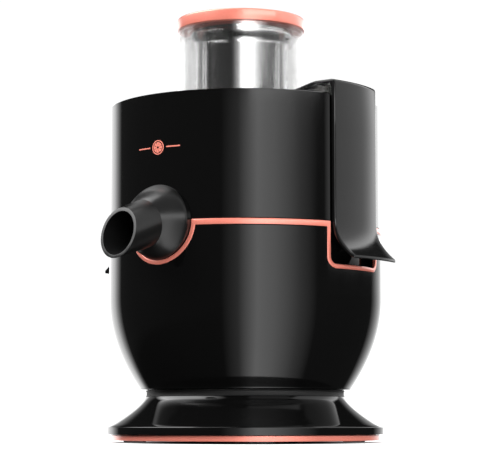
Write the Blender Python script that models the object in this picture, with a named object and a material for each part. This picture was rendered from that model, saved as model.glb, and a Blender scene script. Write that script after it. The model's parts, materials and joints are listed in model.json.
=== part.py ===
"""Centrifugal juicer: motor base, lift-off drum with spout, lid, side latches and pusher.

Lengths are in millimetres here and are turned into metres when a mesh is made. Heights are above
the table. X and Y are measured from the juicer's own axis: the spout points to -Y, the latches
stand at +X and -X, and the selector knob is at the back, at +Y.
"""
import math

import bmesh
import bpy
from mathutils import Matrix, Vector

MM = 0.001
GAP = 0.3                      # left between pieces that touch
AXIS_Y = 18.8                  # centres the whole object's box on the origin

# Turned resolution
ROUND = 40                     # steps round the large shells
SMALL = 16                     # steps round the small pieces
TINY = 10

# Base
BASE_R = 110.4
BASE_RIM_TOP = 12.4
NECK_R = 80.2
NECK_BOTTOM = 36.0
NECK_TOP = 40.7
PLATE_BOTTOM = 1.8
PLATE_TOP = 4.8
FOOT_PITCH_R = 88.0
SCREW_PITCH_R = 70.0

# Drum and motor housing
BODY_R = 109.0
WALL = 3.0
HOUSING_BOTTOM = 41.0
HOUSING_FOOT_R = 83.5
BOWL_TOP = 114.0               # the bowl-shaped bottom runs into the cylinder here
PARTING_Z = 165.8
RIM_Z = 266.6
REBATE_Z = 263.5               # the lid's edge sits here, inside the rim
REBATE_WALL = 1.7
TRIM_WIDTH = 4.3               # along the level parts of the parting line
DIP_WIDTH = 3.2                # round the spout and the latch notches
TRIM_PROUD = 0.5

# Latch notch in the drum
NOTCH_HALF_ANGLE = math.radians(16.5)
NOTCH_R = 101.5
NOTCH_BOTTOM = 135.4
NOTCH_CORNER_R = 6.0
NEST_R = 101.2

# Spout
SPOUT_Z = 167.0
DOME_R = 28.7
DOME_DEPTH = 26.0
DOME_BASE_Y = -109.4
DOME_PROFILE = ((0.0, 1.0), (0.2, 0.975), (0.4, 0.9), (0.56, 0.76), (0.7, 0.58), (0.83, 0.39),
                (0.93, 0.2), (0.985, 0.07), (1.0, 0.0))    # shares of the radius and the depth
MOUTH_Y = -155.2
MOUTH_Z = 154.9
MOUTH_TILT = math.radians(-13.0)       # the lower lip reaches further out
TUBE_ROOT_R = 18.6
TUBE_TIP_R = 16.3
TUBE_ROOT = 8.0                # where the tube starts and ends, along its own axis
TUBE_TIP = 62.0
TUBE_SLOPE = math.radians(18.0)
SPOUT_WALL = 2.2

# Chimney and pusher
CHIMNEY_Y = -6.0
CHIMNEY_R = 50.6
CHIMNEY_TOP = 329.5
CHUTE_R = 37.3
CHUTE_BOTTOM = 197.0
PUSHER_R = 36.5
PUSHER_FLARE_R = 41.0
PUSHER_BOTTOM = 200.0
CAP_R = 51.7
CAP_BOTTOM = 330.5
CAP_TOP = 340.0

# Latch
LATCH_HALF_WIDTH = 28.7
LATCH_R = 111.2
LATCH_INNER_R = 108.0
LATCH_TOP = 277.9
PIVOT_X = 105.4
PIVOT_Z = 150.0
PIN_R = 1.6

# Drive
SHAFT_R = 4.0
DECK_BOTTOM = 133.6
DECK_TOP = 136.4
COUPLING_R = 10.5

# Selector
KNOB_Z = 112.0
KNOB_FACE_Y = 110.2
KNOB_TIP_Y = 122.0

UP = Matrix.Identity(4)
TO_BACK = Matrix.Rotation(math.radians(-90), 4, "X")     # +Z of the turned shape becomes +Y
TO_FRONT = Matrix.Rotation(math.radians(90), 4, "X")     # +Z of the turned shape becomes -Y


def clear_scene():
    for obj in list(bpy.data.objects):
        bpy.data.objects.remove(obj, do_unlink=True)


# ---------------------------------------------------------------- materials

def paint(name, colour, roughness, metallic=0.0, alpha=1.0):
    material = bpy.data.materials.new(name)
    material.use_nodes = True
    shader = material.node_tree.nodes["Principled BSDF"]
    shader.inputs["Base Color"].default_value = (*colour, 1.0)
    shader.inputs["Roughness"].default_value = roughness
    shader.inputs["Metallic"].default_value = metallic
    shader.inputs["Alpha"].default_value = alpha
    return material


def make_paints():
    return {
        "gloss_black": paint("gloss_black", (0.006, 0.006, 0.007), 0.10),
        "matte_black": paint("matte_black", (0.015, 0.015, 0.016), 0.55),
        "copper": paint("copper", (0.83, 0.31, 0.19), 0.28, 1.0),
        "steel": paint("steel", (0.62, 0.62, 0.63), 0.22, 1.0),
        "iron": paint("iron", (0.20, 0.20, 0.22), 0.50, 1.0),
        "winding": paint("winding", (0.55, 0.22, 0.08), 0.40, 1.0),
        "clear": paint("clear", (0.92, 0.94, 0.95), 0.05, 0.0, 0.3),
        "rubber": paint("rubber", (0.02, 0.02, 0.02), 0.80),
        "carbon": paint("carbon", (0.03, 0.03, 0.03), 0.70),
        "board_green": paint("board_green", (0.02, 0.14, 0.06), 0.50),
        "white_plastic": paint("white_plastic", (0.75, 0.75, 0.73), 0.40),
        "smoke": paint("smoke", (0.05, 0.05, 0.055), 0.20),
    }


# ---------------------------------------------------------------- mesh making

def circle(radius, height, steps=ROUND, centre_y=0.0):
    points = []
    for step in range(steps):
        angle = 2 * math.pi * step / steps
        points.append((radius * math.cos(angle), centre_y + radius * math.sin(angle), height))
    return points


def add_rows(bm, rows, close_ends):
    """Skins rings of points that follow each other; close_ends joins the last ring to the first."""
    rings = [[bm.verts.new(point) for point in row] for row in rows]
    pairs = list(zip(rings, rings[1:]))
    if close_ends:
        pairs.append((rings[-1], rings[0]))
    for lower, upper in pairs:
        count = len(lower)
        for i in range(count):
            j = (i + 1) % count
            bm.faces.new((lower[i], lower[j], upper[j], upper[i]))
    return rings


def ring_mesh(rows):
    """A closed body like a bent tube: every ring joins the next, and the last joins the first."""
    bm = bmesh.new()
    add_rows(bm, rows, True)
    return bm


def turned_ring(outline, steps=ROUND, centre_y=0.0):
    """Turns a closed outline of (radius, height) that stays off the axis."""
    return ring_mesh([circle(radius, height, steps, centre_y) for radius, height in outline])


def turned_solid(outline, steps=SMALL, centre_y=0.0):
    """Turns an outline whose first and last points are on the axis."""
    bm = bmesh.new()
    inner = [circle(radius, height, steps, centre_y) for radius, height in outline[1:-1]]
    rings = add_rows(bm, inner, False)
    for ring, (_, height) in ((rings[0], outline[0]), (rings[-1], outline[-1])):
        pole = bm.verts.new((0.0, centre_y, height))
        for i in range(steps):
            bm.faces.new((pole, ring[i], ring[(i + 1) % steps]))
    return bm


def rod(radius, bottom, top, steps=SMALL):
    return turned_solid([(0, bottom), (radius, bottom), (radius, top), (0, top)], steps)


def tube(inner_radius, outer_radius, bottom, top, steps=SMALL):
    return turned_ring([(outer_radius, top), (outer_radius, bottom),
                        (inner_radius, bottom), (inner_radius, top)], steps)


def block(low, high):
    bm = bmesh.new()
    size = [b - a for a, b in zip(low, high)]
    centre = [(a + b) / 2 for a, b in zip(low, high)]
    bmesh.ops.create_cube(bm, size=1.0, matrix=Matrix.Translation(centre) @ Matrix.Diagonal((*size, 1)))
    return bm


def toothed_ring(bore, root, tip, teeth, bottom, top, share=0.5):
    """A ring whose outside steps between root and tip radius, teeth times round."""
    outside, inside = [], []
    for tooth in range(teeth):
        start = 2 * math.pi * tooth / teeth
        pitch = 2 * math.pi / teeth
        for radius, part in ((root, 0.0), (root, 1 - share), (tip, 1 - share + 0.04), (tip, 0.96)):
            angle = start + pitch * part
            outside.append((radius * math.cos(angle), radius * math.sin(angle)))
            inside.append((bore * math.cos(angle), bore * math.sin(angle)))
    rows = []
    for outline, height in ((outside, top), (outside, bottom), (inside, bottom), (inside, top)):
        rows.append([(x, y, height) for x, y in outline])
    return ring_mesh(rows)


def extruded(outline, low, high):
    """A plate whose outline is (x, z) and whose faces stand at y = low and y = high."""
    bm = bmesh.new()
    face = bm.faces.new([bm.verts.new((x, low, z)) for x, z in outline])
    result = bmesh.ops.extrude_face_region(bm, geom=[face])
    moved = [item for item in result["geom"] if isinstance(item, bmesh.types.BMVert)]
    bmesh.ops.translate(bm, vec=(0, high - low, 0), verts=moved)
    return bm


def moved(bm, matrix, offset=(0, 0, 0)):
    bm.transform(Matrix.Translation(offset) @ matrix)
    return bm


def together(*meshes):
    """Puts several closed shapes in one mesh, for a cutter."""
    whole = bmesh.new()
    for bm in meshes:
        scratch = bpy.data.meshes.new("scratch")
        bm.to_mesh(scratch)
        bm.free()
        whole.from_mesh(scratch)
        bpy.data.meshes.remove(scratch)
    return whole


class Workshop:
    """Keeps the paints and the frame, and turns meshes into named objects."""

    def __init__(self):
        self.paints = make_paints()
        self.axis = bpy.data.objects.new("juicer_axis", None)
        self.axis.location = (0, AXIS_Y * MM, 0)
        bpy.context.collection.objects.link(self.axis)

    def piece(self, name, bm, colour, origin=(0, 0, 0)):
        bmesh.ops.recalc_face_normals(bm, faces=bm.faces)
        bm.transform(Matrix.Diagonal((MM, MM, MM, 1)) @ Matrix.Translation(-Vector(origin)))
        mesh = bpy.data.meshes.new(name)
        bm.to_mesh(mesh)
        bm.free()
        mesh.materials.append(self.paints[colour])
        mesh.shade_smooth()
        mesh.set_sharp_from_angle(angle=math.radians(35))
        obj = bpy.data.objects.new(name, mesh)
        obj.location = Vector(origin) * MM
        obj.parent = self.axis
        bpy.context.collection.objects.link(obj)
        return obj

    def tool(self, target, name, bm, operation="DIFFERENCE"):
        """Adds a hidden shape and the Boolean that uses it on target."""
        cutter = self.piece(name, bm, "matte_black")
        cutter.hide_render = True
        cutter.display_type = "WIRE"
        boolean = target.modifiers.new(name, "BOOLEAN")
        boolean.operation = operation
        boolean.object = cutter
        boolean.solver = "EXACT"


# ---------------------------------------------------------------- base

def around(radius, count, start_degrees):
    for number in range(count):
        angle = math.radians(start_degrees + 360 * number / count)
        yield number + 1, (radius * math.cos(angle), radius * math.sin(angle), 0)


def make_base(shop):
    plate_r = 104.0
    plate = shop.piece("base_plate", turned_solid([(0, PLATE_BOTTOM), (plate_r, PLATE_BOTTOM),
                                                   (plate_r, PLATE_TOP), (0, PLATE_TOP)], ROUND), "matte_black")
    holes = []
    for number, place in around(FOOT_PITCH_R, 4, 45):
        holes.append(moved(rod(3.4, 0, 8, TINY), UP, place))
        foot = turned_solid([(0, 0), (8.4, 0), (9.0, 0.6), (9.0, 1.5), (3.0, 1.5), (3.0, 7.0), (0, 7.0)])
        shop.piece(f"foot_{number}", moved(foot, UP, place), "rubber", place)
    for number, place in around(SCREW_PITCH_R, 3, 90):
        holes.append(moved(rod(4.4, 0, 8, TINY), UP, place))
        screw = turned_solid([(0, 2.2), (4.0, 2.2), (4.0, 4.6), (1.8, 4.6), (1.8, 16.0), (0, 16.0)], TINY)
        shop.piece(f"base_screw_{number}", moved(screw, UP, place), "steel", place)
    for number in range(6):
        turn = Matrix.Rotation(math.radians(30 + 60 * number), 4, "Z")
        holes.append(moved(block((22, -2.5, 0), (56, 2.5, 8)), turn))
    shop.tool(plate, "cut_base_plate", together(*holes))

    shop.piece("base_trim_ring", turned_ring([(107.2, 5.4), (107.2, 2.0), (106.7, 1.5), (104.3, 1.5),
                                              (104.3, 5.9), (106.7, 5.9)]), "copper")

    flare = []
    steps = 5
    for step in range(steps + 1):
        share = 1 - step / steps
        flare.append((NECK_R + (BASE_R - NECK_R) * share ** 1.4,
                      NECK_BOTTOM - GAP - (NECK_BOTTOM - GAP - BASE_RIM_TOP) * share))
    outside = [(BASE_R, 6.2), (BASE_R, 11.8)] + flare
    inside = [(radius - WALL, height - 1.5) for radius, height in reversed(flare)]
    inside[0] = (NECK_R - WALL, NECK_BOTTOM - GAP)
    shop.piece("base_skirt", turned_ring(outside + inside + [(BASE_R - WALL, 6.2)]), "gloss_black")

    shop.piece("neck_ring", turned_ring([(80.0, NECK_TOP), (80.0, NECK_BOTTOM), (74.0, NECK_BOTTOM),
                                         (74.0, NECK_TOP)]), "matte_black")


# ---------------------------------------------------------------- motor housing

def bowl_outline(offset, bottom, steps=6):
    """The bowl from its top down: a parabola that meets the cylinder without a corner."""
    points = []
    for step in range(steps + 1):
        height = BOWL_TOP + (bottom - BOWL_TOP) * step / steps
        share = (height - HOUSING_BOTTOM) / (BOWL_TOP - HOUSING_BOTTOM)
        radius = HOUSING_FOOT_R + (BODY_R - HOUSING_FOOT_R) * (1 - (1 - share) ** 2)
        points.append((radius - offset, height))
    return points


def notch_block(side, grow):
    """The latch notch as a solid, with rounded lower corners, grown on its sides and bottom."""
    half_width = BODY_R * math.sin(NOTCH_HALF_ANGLE) + grow
    bottom = NOTCH_BOTTOM - grow
    corner = NOTCH_CORNER_R + grow
    outline = [(half_width, RIM_Z), (-half_width, RIM_Z)]
    for centre_y, start in ((-half_width + corner, 180), (half_width - corner, 270)):
        for step in range(5):
            angle = math.radians(start + 22.5 * step)
            outline.append((centre_y + corner * math.cos(angle), bottom + corner + corner * math.sin(angle)))
    bm = extruded(outline, 95.0, 120.0)
    turn = Matrix.Rotation(math.radians(-90 if side > 0 else 90), 4, "Z")
    return moved(bm, turn)


def make_motor_housing(shop):
    wall_top = PARTING_Z - TRIM_WIDTH / 2 - GAP
    outside = [(BODY_R, wall_top)] + bowl_outline(0, HOUSING_BOTTOM)
    floor = [(20.0, HOUSING_BOTTOM), (20.0, HOUSING_BOTTOM + WALL)]
    inside = bowl_outline(WALL, HOUSING_BOTTOM + WALL)
    inside.reverse()
    housing = shop.piece("motor_housing",
                         turned_ring(outside + floor + inside + [(BODY_R - WALL, wall_top)]), "gloss_black")
    knob_place = (0, 0, KNOB_Z)
    shop.tool(housing, "add_knob_boss", moved(rod(19.0, 103.5, KNOB_FACE_Y, 24), TO_BACK, knob_place), "UNION")
    seat_r = DOME_R + GAP + DIP_WIDTH + GAP
    openings = [
        moved(rod(seat_r, 90, 125, 32), TO_FRONT, (0, 0, SPOUT_Z)),
        notch_block(1, DIP_WIDTH + GAP),
        notch_block(-1, DIP_WIDTH + GAP),
        moved(rod(3.6, 98, 115, TINY), TO_BACK, knob_place),
        moved(rod(7.3, 70, 110, SMALL), TO_BACK, (0, 0, 54)),
    ]
    shop.tool(housing, "cut_motor_housing", together(*openings))


def parting_line():
    """Points of the parting line, once round, each with the way to the strip's upper edge."""
    level_half, half = TRIM_WIDTH / 2, DIP_WIDTH / 2
    stations = []                                   # (angle from -Y, height, sideways, upward)

    def level(start, stop, count):
        for step in range(count):
            stations.append((start + (stop - start) * step / count, PARTING_Z, 0.0, level_half))

    def spout_dip():
        radius = DOME_R + GAP + half
        for step in range(13):
            angle = math.radians(180 + 15 * step)
            across = radius * math.cos(angle)
            height = SPOUT_Z + radius * math.sin(angle)
            if step in (0, 12):
                height = PARTING_Z
                stations.append((math.asin(across / BODY_R), height, -math.cos(angle) * half, level_half))
                continue
            stations.append((math.asin(across / BODY_R), height, -math.cos(angle) * half, -math.sin(angle) * half))

    def latch_dip(centre):
        width = BODY_R * math.sin(NOTCH_HALF_ANGLE) + half
        bottom = NOTCH_BOTTOM - half
        corner = NOTCH_CORNER_R + half
        start, stop = centre - width / BODY_R, centre + width / BODY_R
        stations.append((start, PARTING_Z, half, level_half))
        for step in range(5):
            angle = math.radians(180 + 22.5 * step)
            stations.append((start + (corner + corner * math.cos(angle)) / BODY_R,
                             bottom + corner + corner * math.sin(angle),
                             -math.cos(angle) * half, -math.sin(angle) * half))
        for step in range(1, 6):
            stations.append((start + corner / BODY_R + (stop - start - 2 * corner / BODY_R) * step / 6,
                             bottom, 0.0, half))
        for step in range(5):
            angle = math.radians(270 + 22.5 * step)
            stations.append((stop - (corner - corner * math.cos(angle)) / BODY_R,
                             bottom + corner + corner * math.sin(angle),
                             -math.cos(angle) * half, -math.sin(angle) * half))
        stations.append((stop, PARTING_Z, -half, level_half))

    dip_edge = math.asin((DOME_R + GAP + half) / BODY_R)
    latch_edge = NOTCH_HALF_ANGLE + half / BODY_R
    quarter = math.pi / 2
    pad = 0.02
    spout_dip()
    level(dip_edge + pad, quarter - latch_edge - pad, 7)
    latch_dip(quarter)
    level(quarter + latch_edge + pad, 3 * quarter - latch_edge - pad, 18)
    latch_dip(3 * quarter)
    level(3 * quarter + latch_edge + pad, 4 * quarter - dip_edge - pad, 7)
    return stations


def make_housing_trim(shop):
    """A copper strip that follows the parting line round the drum, thinner in the dips."""
    inner_r, outer_r = BODY_R - 2.6, BODY_R + TRIM_PROUD
    corners = ((inner_r, 1.0), (outer_r - 0.4, 1.0), (outer_r, 0.75), (outer_r, -0.75),
               (outer_r - 0.4, -1.0), (inner_r, -1.0))
    front_span = 0.4
    rows = []
    for angle, height, sideways, upward in parting_line():
        row = []
        for radius, share in corners:
            turn = angle + sideways * share / BODY_R
            if abs(angle) < front_span:             # the dip is round when seen from the front
                turn = math.asin((BODY_R * math.sin(angle) + sideways * share) / radius)
            row.append((radius * math.sin(turn), -radius * math.cos(turn), height + upward * share))
        rows.append(row)
    shop.piece("housing_trim", ring_mesh(rows), "copper")


def make_motor_deck(shop):
    deck_r = BODY_R - WALL - 0.4
    shop.piece("motor_deck", turned_ring([(deck_r, DECK_TOP), (deck_r, DECK_BOTTOM), (19.0, DECK_BOTTOM),
                                          (19.0, 146.0), (21.5, 146.0), (21.5, DECK_TOP)]), "matte_black")
    shop.piece("shaft_seal", tube(4.8, 18.6, 134.0, 137.0), "rubber")


# ---------------------------------------------------------------- motor

def make_motor(shop):
    shop.piece("stator_core", tube(25.0, 41.0, 72, 104, 24), "iron")
    shop.piece("winding_upper", turned_ring([(38, 114), (39, 107), (38, 104.4), (28, 104.4), (27, 108),
                                             (29, 114)], 24), "winding")
    shop.piece("winding_lower", turned_ring([(38, 71.6), (39, 68), (37, 62), (29, 62), (27, 67),
                                             (28, 71.6)], 24), "winding")
    frame = shop.piece("motor_frame", tube(41.4, 44.0, 54.4, 126.4, 24), "steel")
    windows = [moved(block((30, -14, 60), (60, 14, 69)), Matrix.Rotation(math.radians(60 * n), 4, "Z"))
               for n in range(6)]
    shop.tool(frame, "cut_motor_frame", together(*windows))
    shop.piece("lower_bracket", turned_ring([(46, 54), (46, 44.6), (22, 44.6), (11.3, 46), (11.3, 54)], 24), "steel")
    shop.piece("upper_bracket", turned_ring([(46, 133.0), (46, 126.8), (11.3, 126.8), (11.3, 133.0)], 24), "steel")
    shop.piece("lower_bearing", tube(4.3, 11.0, 47, 54), "steel")
    shop.piece("upper_bearing", tube(4.3, 11.0, 127, 133), "steel")
    for side, name in ((1, "right"), (-1, "left")):
        turn = Matrix.Rotation(math.radians(0 if side > 0 else 180), 4, "Z")
        brush = block((10.4, -2.6, 56.5), (25.0, 2.6, 60.5))
        shop.piece(f"carbon_brush_{name}", moved(brush, turn), "carbon")
        holder = shop.piece(f"brush_holder_{name}", moved(block((15, -5, 55.0), (26, 5, 61.8)), turn), "white_plastic")
        shop.tool(holder, f"cut_brush_holder_{name}", moved(block((5, -2.9, 56.2), (40, 2.9, 60.8)), turn))


def make_rotor(shop):
    shop.piece("motor_shaft", rod(SHAFT_R, 46.0, 159.0, 16), "steel")
    shop.piece("rotor_core", toothed_ring(4.3, 22.5, 24.4, 8, 72, 104, 0.7), "iron")
    shop.piece("commutator", toothed_ring(4.3, 9.4, 10.0, 8, 56, 68, 0.8), "winding")
    shop.piece("cooling_fan", toothed_ring(4.3, 13.0, 37.0, 8, 116, 125, 0.25), "white_plastic")
    shop.piece("drive_coupling", toothed_ring(4.3, 8.6, COUPLING_R, 6, 141, 160, 0.5), "matte_black")


def make_electrics(shop):
    shop.piece("rotary_switch", block((-14, 78, KNOB_Z - 13), (14, 99.2, KNOB_Z + 13)), "white_plastic")
    shop.piece("safety_switch", block((72, -8, 118), (88, 8, 131)), "smoke")
    shop.piece("control_board", block((-72, -26, 50), (-70, 26, 96)), "board_green")
    capacitor = moved(rod(7.5, 0, 26), UP, (-56, 0, 56))
    shop.piece("suppressor_capacitor", capacitor, "smoke")
    gland = turned_ring([(9.5, 72), (9.5, 75), (7.0, 75), (7.0, 97), (5.6, 99), (3.6, 99), (3.6, 72)], 16)
    shop.piece("cord_gland", moved(gland, TO_BACK, (0, 0, 54)), "rubber")


def make_selector(shop):
    place = (0, 0, KNOB_Z)
    face = KNOB_FACE_Y + GAP
    knob = turned_solid([(0, face), (15.4, face), (16.0, face + 1.5), (14.6, KNOB_TIP_Y - 5.0),
                         (13.4, KNOB_TIP_Y - 4.0), (0, KNOB_TIP_Y - 1.2)], 24)
    knob = shop.piece("selector_knob", moved(knob, TO_BACK, place), "gloss_black", (0, face, KNOB_Z))
    grip = block((-3.0, 116.0, KNOB_Z - 13.6), (3.0, KNOB_TIP_Y, KNOB_Z + 13.6))
    shop.tool(knob, "add_knob_grip", grip, "UNION")
    shop.tool(knob, "cut_knob_bore", moved(rod(3.4, 100, KNOB_TIP_Y - 3.0, TINY), TO_BACK, place))
    shaft = moved(rod(3.1, 99.5, KNOB_TIP_Y - 3.4, TINY), TO_BACK, place)
    shop.piece("selector_shaft", shaft, "steel", (0, 99.5, KNOB_Z))


# ---------------------------------------------------------------- drum

def drum_angles(half_angle):
    """Angles round the drum, each with a flag for the points inside a latch notch."""
    angles = []
    for centre in (0.0, math.pi):
        for step in range(5):
            angles.append((centre - half_angle + 2 * half_angle * step / 4, True))
        for step in range(16):
            angles.append((centre + half_angle + (math.pi - 2 * half_angle) * step / 15, False))
    return angles


def drum_row(radius, notch_radius, height, half_angle=NOTCH_HALF_ANGLE):
    """A level outline of the drum: a circle that steps in at both notches."""
    points = []
    for angle, in_notch in drum_angles(half_angle):
        distance = notch_radius if in_notch else radius
        points.append((distance * math.cos(angle), distance * math.sin(angle), height))
    return points


def round_row(radius, height, centre_y=0.0):
    """A level circle with the drum outline's points, whose two points at each corner are kept apart."""
    outside = drum_angles(NOTCH_HALF_ANGLE + math.radians(0.5))
    inside = drum_angles(NOTCH_HALF_ANGLE - math.radians(0.5))
    points = []
    for wide, narrow in zip(outside, inside):
        angle = narrow[0] if narrow[1] else wide[0]
        points.append((radius * math.cos(angle), centre_y + radius * math.sin(angle), height))
    return points


def make_upper_housing(shop):
    parting_top = PARTING_Z + TRIM_WIDTH / 2 + GAP
    inner_notch = NOTCH_R - WALL
    inner_half_angle = NOTCH_HALF_ANGLE + WALL / BODY_R
    rebate_half_angle = NOTCH_HALF_ANGLE + REBATE_WALL / BODY_R
    nest_inner = NEST_R - WALL
    floor_bottom, floor_top = 137.0, 140.0
    rows = [
        drum_row(BODY_R, NOTCH_R, RIM_Z),
        drum_row(BODY_R, NOTCH_R, parting_top),
        round_row(NEST_R, parting_top),
        round_row(NEST_R, floor_bottom),
        round_row(24.0, floor_bottom),
        round_row(24.0, floor_top),
        round_row(nest_inner, floor_top),
        round_row(nest_inner, parting_top + WALL),
        drum_row(BODY_R - WALL, inner_notch, parting_top + WALL, inner_half_angle),
        drum_row(BODY_R - WALL, inner_notch, REBATE_Z, inner_half_angle),
        drum_row(BODY_R - REBATE_WALL, NOTCH_R - REBATE_WALL, REBATE_Z, rebate_half_angle),
        drum_row(BODY_R - REBATE_WALL, NOTCH_R - REBATE_WALL, RIM_Z, rebate_half_angle),
    ]
    drum = shop.piece("upper_housing", ring_mesh(rows), "gloss_black")
    boss = moved(rod(DOME_R - 0.1, 96.5, 109.1, 32), TO_FRONT, (0, 0, SPOUT_Z))
    shop.tool(drum, "add_spout_boss", boss, "UNION")
    lugs = [block((99.0, -9.0, PIVOT_Z - 3.4), (107.2, 9.0, PIVOT_Z + 3.4)),
            block((-107.2, -9.0, PIVOT_Z - 3.4), (-99.0, 9.0, PIVOT_Z + 3.4))]
    shop.tool(drum, "add_latch_lugs", together(*lugs), "UNION")
    holes = [moved(rod(14.5, 80, 120, 24), TO_FRONT, (0, 0, SPOUT_Z))]
    for side in (1, -1):
        holes.append(moved(rod(PIN_R + GAP, -20, 20, TINY), TO_BACK, (side * PIVOT_X, 0, PIVOT_Z)))
    shop.tool(drum, "cut_upper_housing", together(*holes))


def make_juice_collector(shop):
    wall_r, wall_top = 76.0, 228.0
    outline = [(wall_r, wall_top), (wall_r, 150), (15.5, 150), (15.5, 178), (17.5, 178), (17.5, 152.4),
               (wall_r - 2, 153), (wall_r - 2, wall_top)]
    collector = shop.piece("juice_collector", turned_ring(outline, 32), "smoke")
    duct = moved(rod(11.5, 74.6, 111.6), TO_FRONT, (0, 0, SPOUT_Z))
    shop.tool(collector, "add_duct", duct, "UNION")
    bore = moved(rod(9.5, 68, 120), TO_FRONT, (0, 0, SPOUT_Z))
    shop.tool(collector, "cut_duct", bore)
    shop.piece("collector_gasket", tube(60, 66, 140.3, 149.7, 24), "rubber")
    seal = tube(11.8, 14.2, 100, 108.8)
    shop.piece("spout_seal", moved(seal, TO_FRONT, (0, 0, SPOUT_Z)), "rubber")


def make_basket(shop):
    basket_bottom, basket_top = 182.9, 232.0
    shop.piece("strainer_basket", turned_ring([(71, basket_top), (50, basket_bottom), (48.8, basket_bottom),
                                               (69.8, basket_top)], 32), "steel")
    shop.piece("basket_rim", turned_ring([(77, 235.6), (77.4, 234), (74, 232.3), (67.5, 232.3), (66.8, 235.6)], 32),
               "white_plastic")
    shop.piece("basket_carrier", turned_ring([(51, 182.6), (51, 180), (46, 179), (14.3, 179), (14.3, 182.6)], 24),
               "white_plastic")
    shop.piece("grater_disc", tube(14.3, 44.0, 182.9, 184.6, 32), "steel")
    shop.piece("basket_hub", turned_solid([(0, 188), (9, 187.4), (14, 185), (14, 146), (10.9, 146), (10.9, 164),
                                           (0, 164)]), "white_plastic")


# ---------------------------------------------------------------- spout

def dome_outline(radius, depth):
    """The dome's outline from the apex out to the base, closed by the flat base."""
    return [(radius * across, depth * along) for across, along in DOME_PROFILE] + [(0, 0)]


def tube_solid(thinner, stop):
    """The outlet tube, a little narrower at its mouth, as a solid along its own axis."""
    taper = (TUBE_ROOT_R - TUBE_TIP_R) / (TUBE_TIP - TUBE_ROOT)
    root_r = TUBE_ROOT_R - thinner
    tip_r = root_r - taper * (stop - TUBE_ROOT)
    return turned_solid([(0, stop), (tip_r, stop), (root_r, TUBE_ROOT), (0, TUBE_ROOT)], 28)


def make_spout(shop):
    seat = (0, DOME_BASE_Y, SPOUT_Z)
    dome = moved(turned_solid(dome_outline(DOME_R, DOME_DEPTH), 32), TO_FRONT, seat)
    spout = shop.piece("spout", dome, "gloss_black", seat)
    along = Matrix.Rotation(TUBE_SLOPE, 4, "X") @ TO_FRONT
    start = (0, DOME_BASE_Y, MOUTH_Z + (DOME_BASE_Y - MOUTH_Y) * math.tan(TUBE_SLOPE))
    shop.tool(spout, "add_spout_tube", moved(tube_solid(0, TUBE_TIP), along, start), "UNION")
    inner_dome = dome_outline(DOME_R - SPOUT_WALL, DOME_DEPTH - SPOUT_WALL)[:-1]
    inner_dome = turned_solid(inner_dome + [(DOME_R - SPOUT_WALL, -4), (0, -4)], 32)
    shop.tool(spout, "cut_spout_dome", moved(inner_dome, TO_FRONT, seat))
    shop.tool(spout, "cut_spout_bore", moved(tube_solid(SPOUT_WALL, TUBE_TIP + 8), along, start))
    tilt = Matrix.Rotation(MOUTH_TILT, 4, "X")
    shop.tool(spout, "cut_spout_mouth", moved(block((-40, -60, -60), (40, 0, 60)), tilt, (0, MOUTH_Y, MOUTH_Z)))


# ---------------------------------------------------------------- lid and pusher

def make_lid(shop):
    chute_r = CHUTE_R + 2.3
    edge_step = REBATE_WALL + GAP + 0.1
    edge_half_angle = NOTCH_HALF_ANGLE + (edge_step + GAP) / BODY_R
    rows = [
        round_row(CHIMNEY_R, CHIMNEY_TOP, CHIMNEY_Y),
        round_row(CHIMNEY_R, 269.5, CHIMNEY_Y),
        round_row(CHIMNEY_R + 2.8, 267.0, CHIMNEY_Y),
        drum_row(BODY_R - edge_step, NOTCH_R - edge_step, 266.2, edge_half_angle),
        drum_row(BODY_R - edge_step, NOTCH_R - edge_step, REBATE_Z + GAP, edge_half_angle),
        round_row(96.2, REBATE_Z + GAP),
        round_row(96.2, 257.6),
        round_row(93.4, 257.6),
        round_row(93.4, 263.4),
        round_row(CHIMNEY_R + 0.4, 264.4, CHIMNEY_Y),
        round_row(CHIMNEY_R - 2.6, 267.0, CHIMNEY_Y),
        round_row(CHIMNEY_R - 2.6, 325.0, CHIMNEY_Y),
        round_row(44.8, 322.0, CHIMNEY_Y),
        round_row(chute_r, 316.0, CHIMNEY_Y),
        round_row(chute_r, CHUTE_BOTTOM, CHIMNEY_Y),
        round_row(CHUTE_R, CHUTE_BOTTOM, CHIMNEY_Y),
        round_row(CHUTE_R, 317.6, CHIMNEY_Y),
        round_row(42.2, 324.4, CHIMNEY_Y),
        round_row(44.0, CHIMNEY_TOP, CHIMNEY_Y),
    ]
    shop.piece("lid", ring_mesh(rows), "clear")
    shop.piece("lid_gasket", turned_ring([(97.9, 261.0), (97.9, 258.6), (96.5, 258.6), (96.5, 261.0)]), "rubber")


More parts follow.
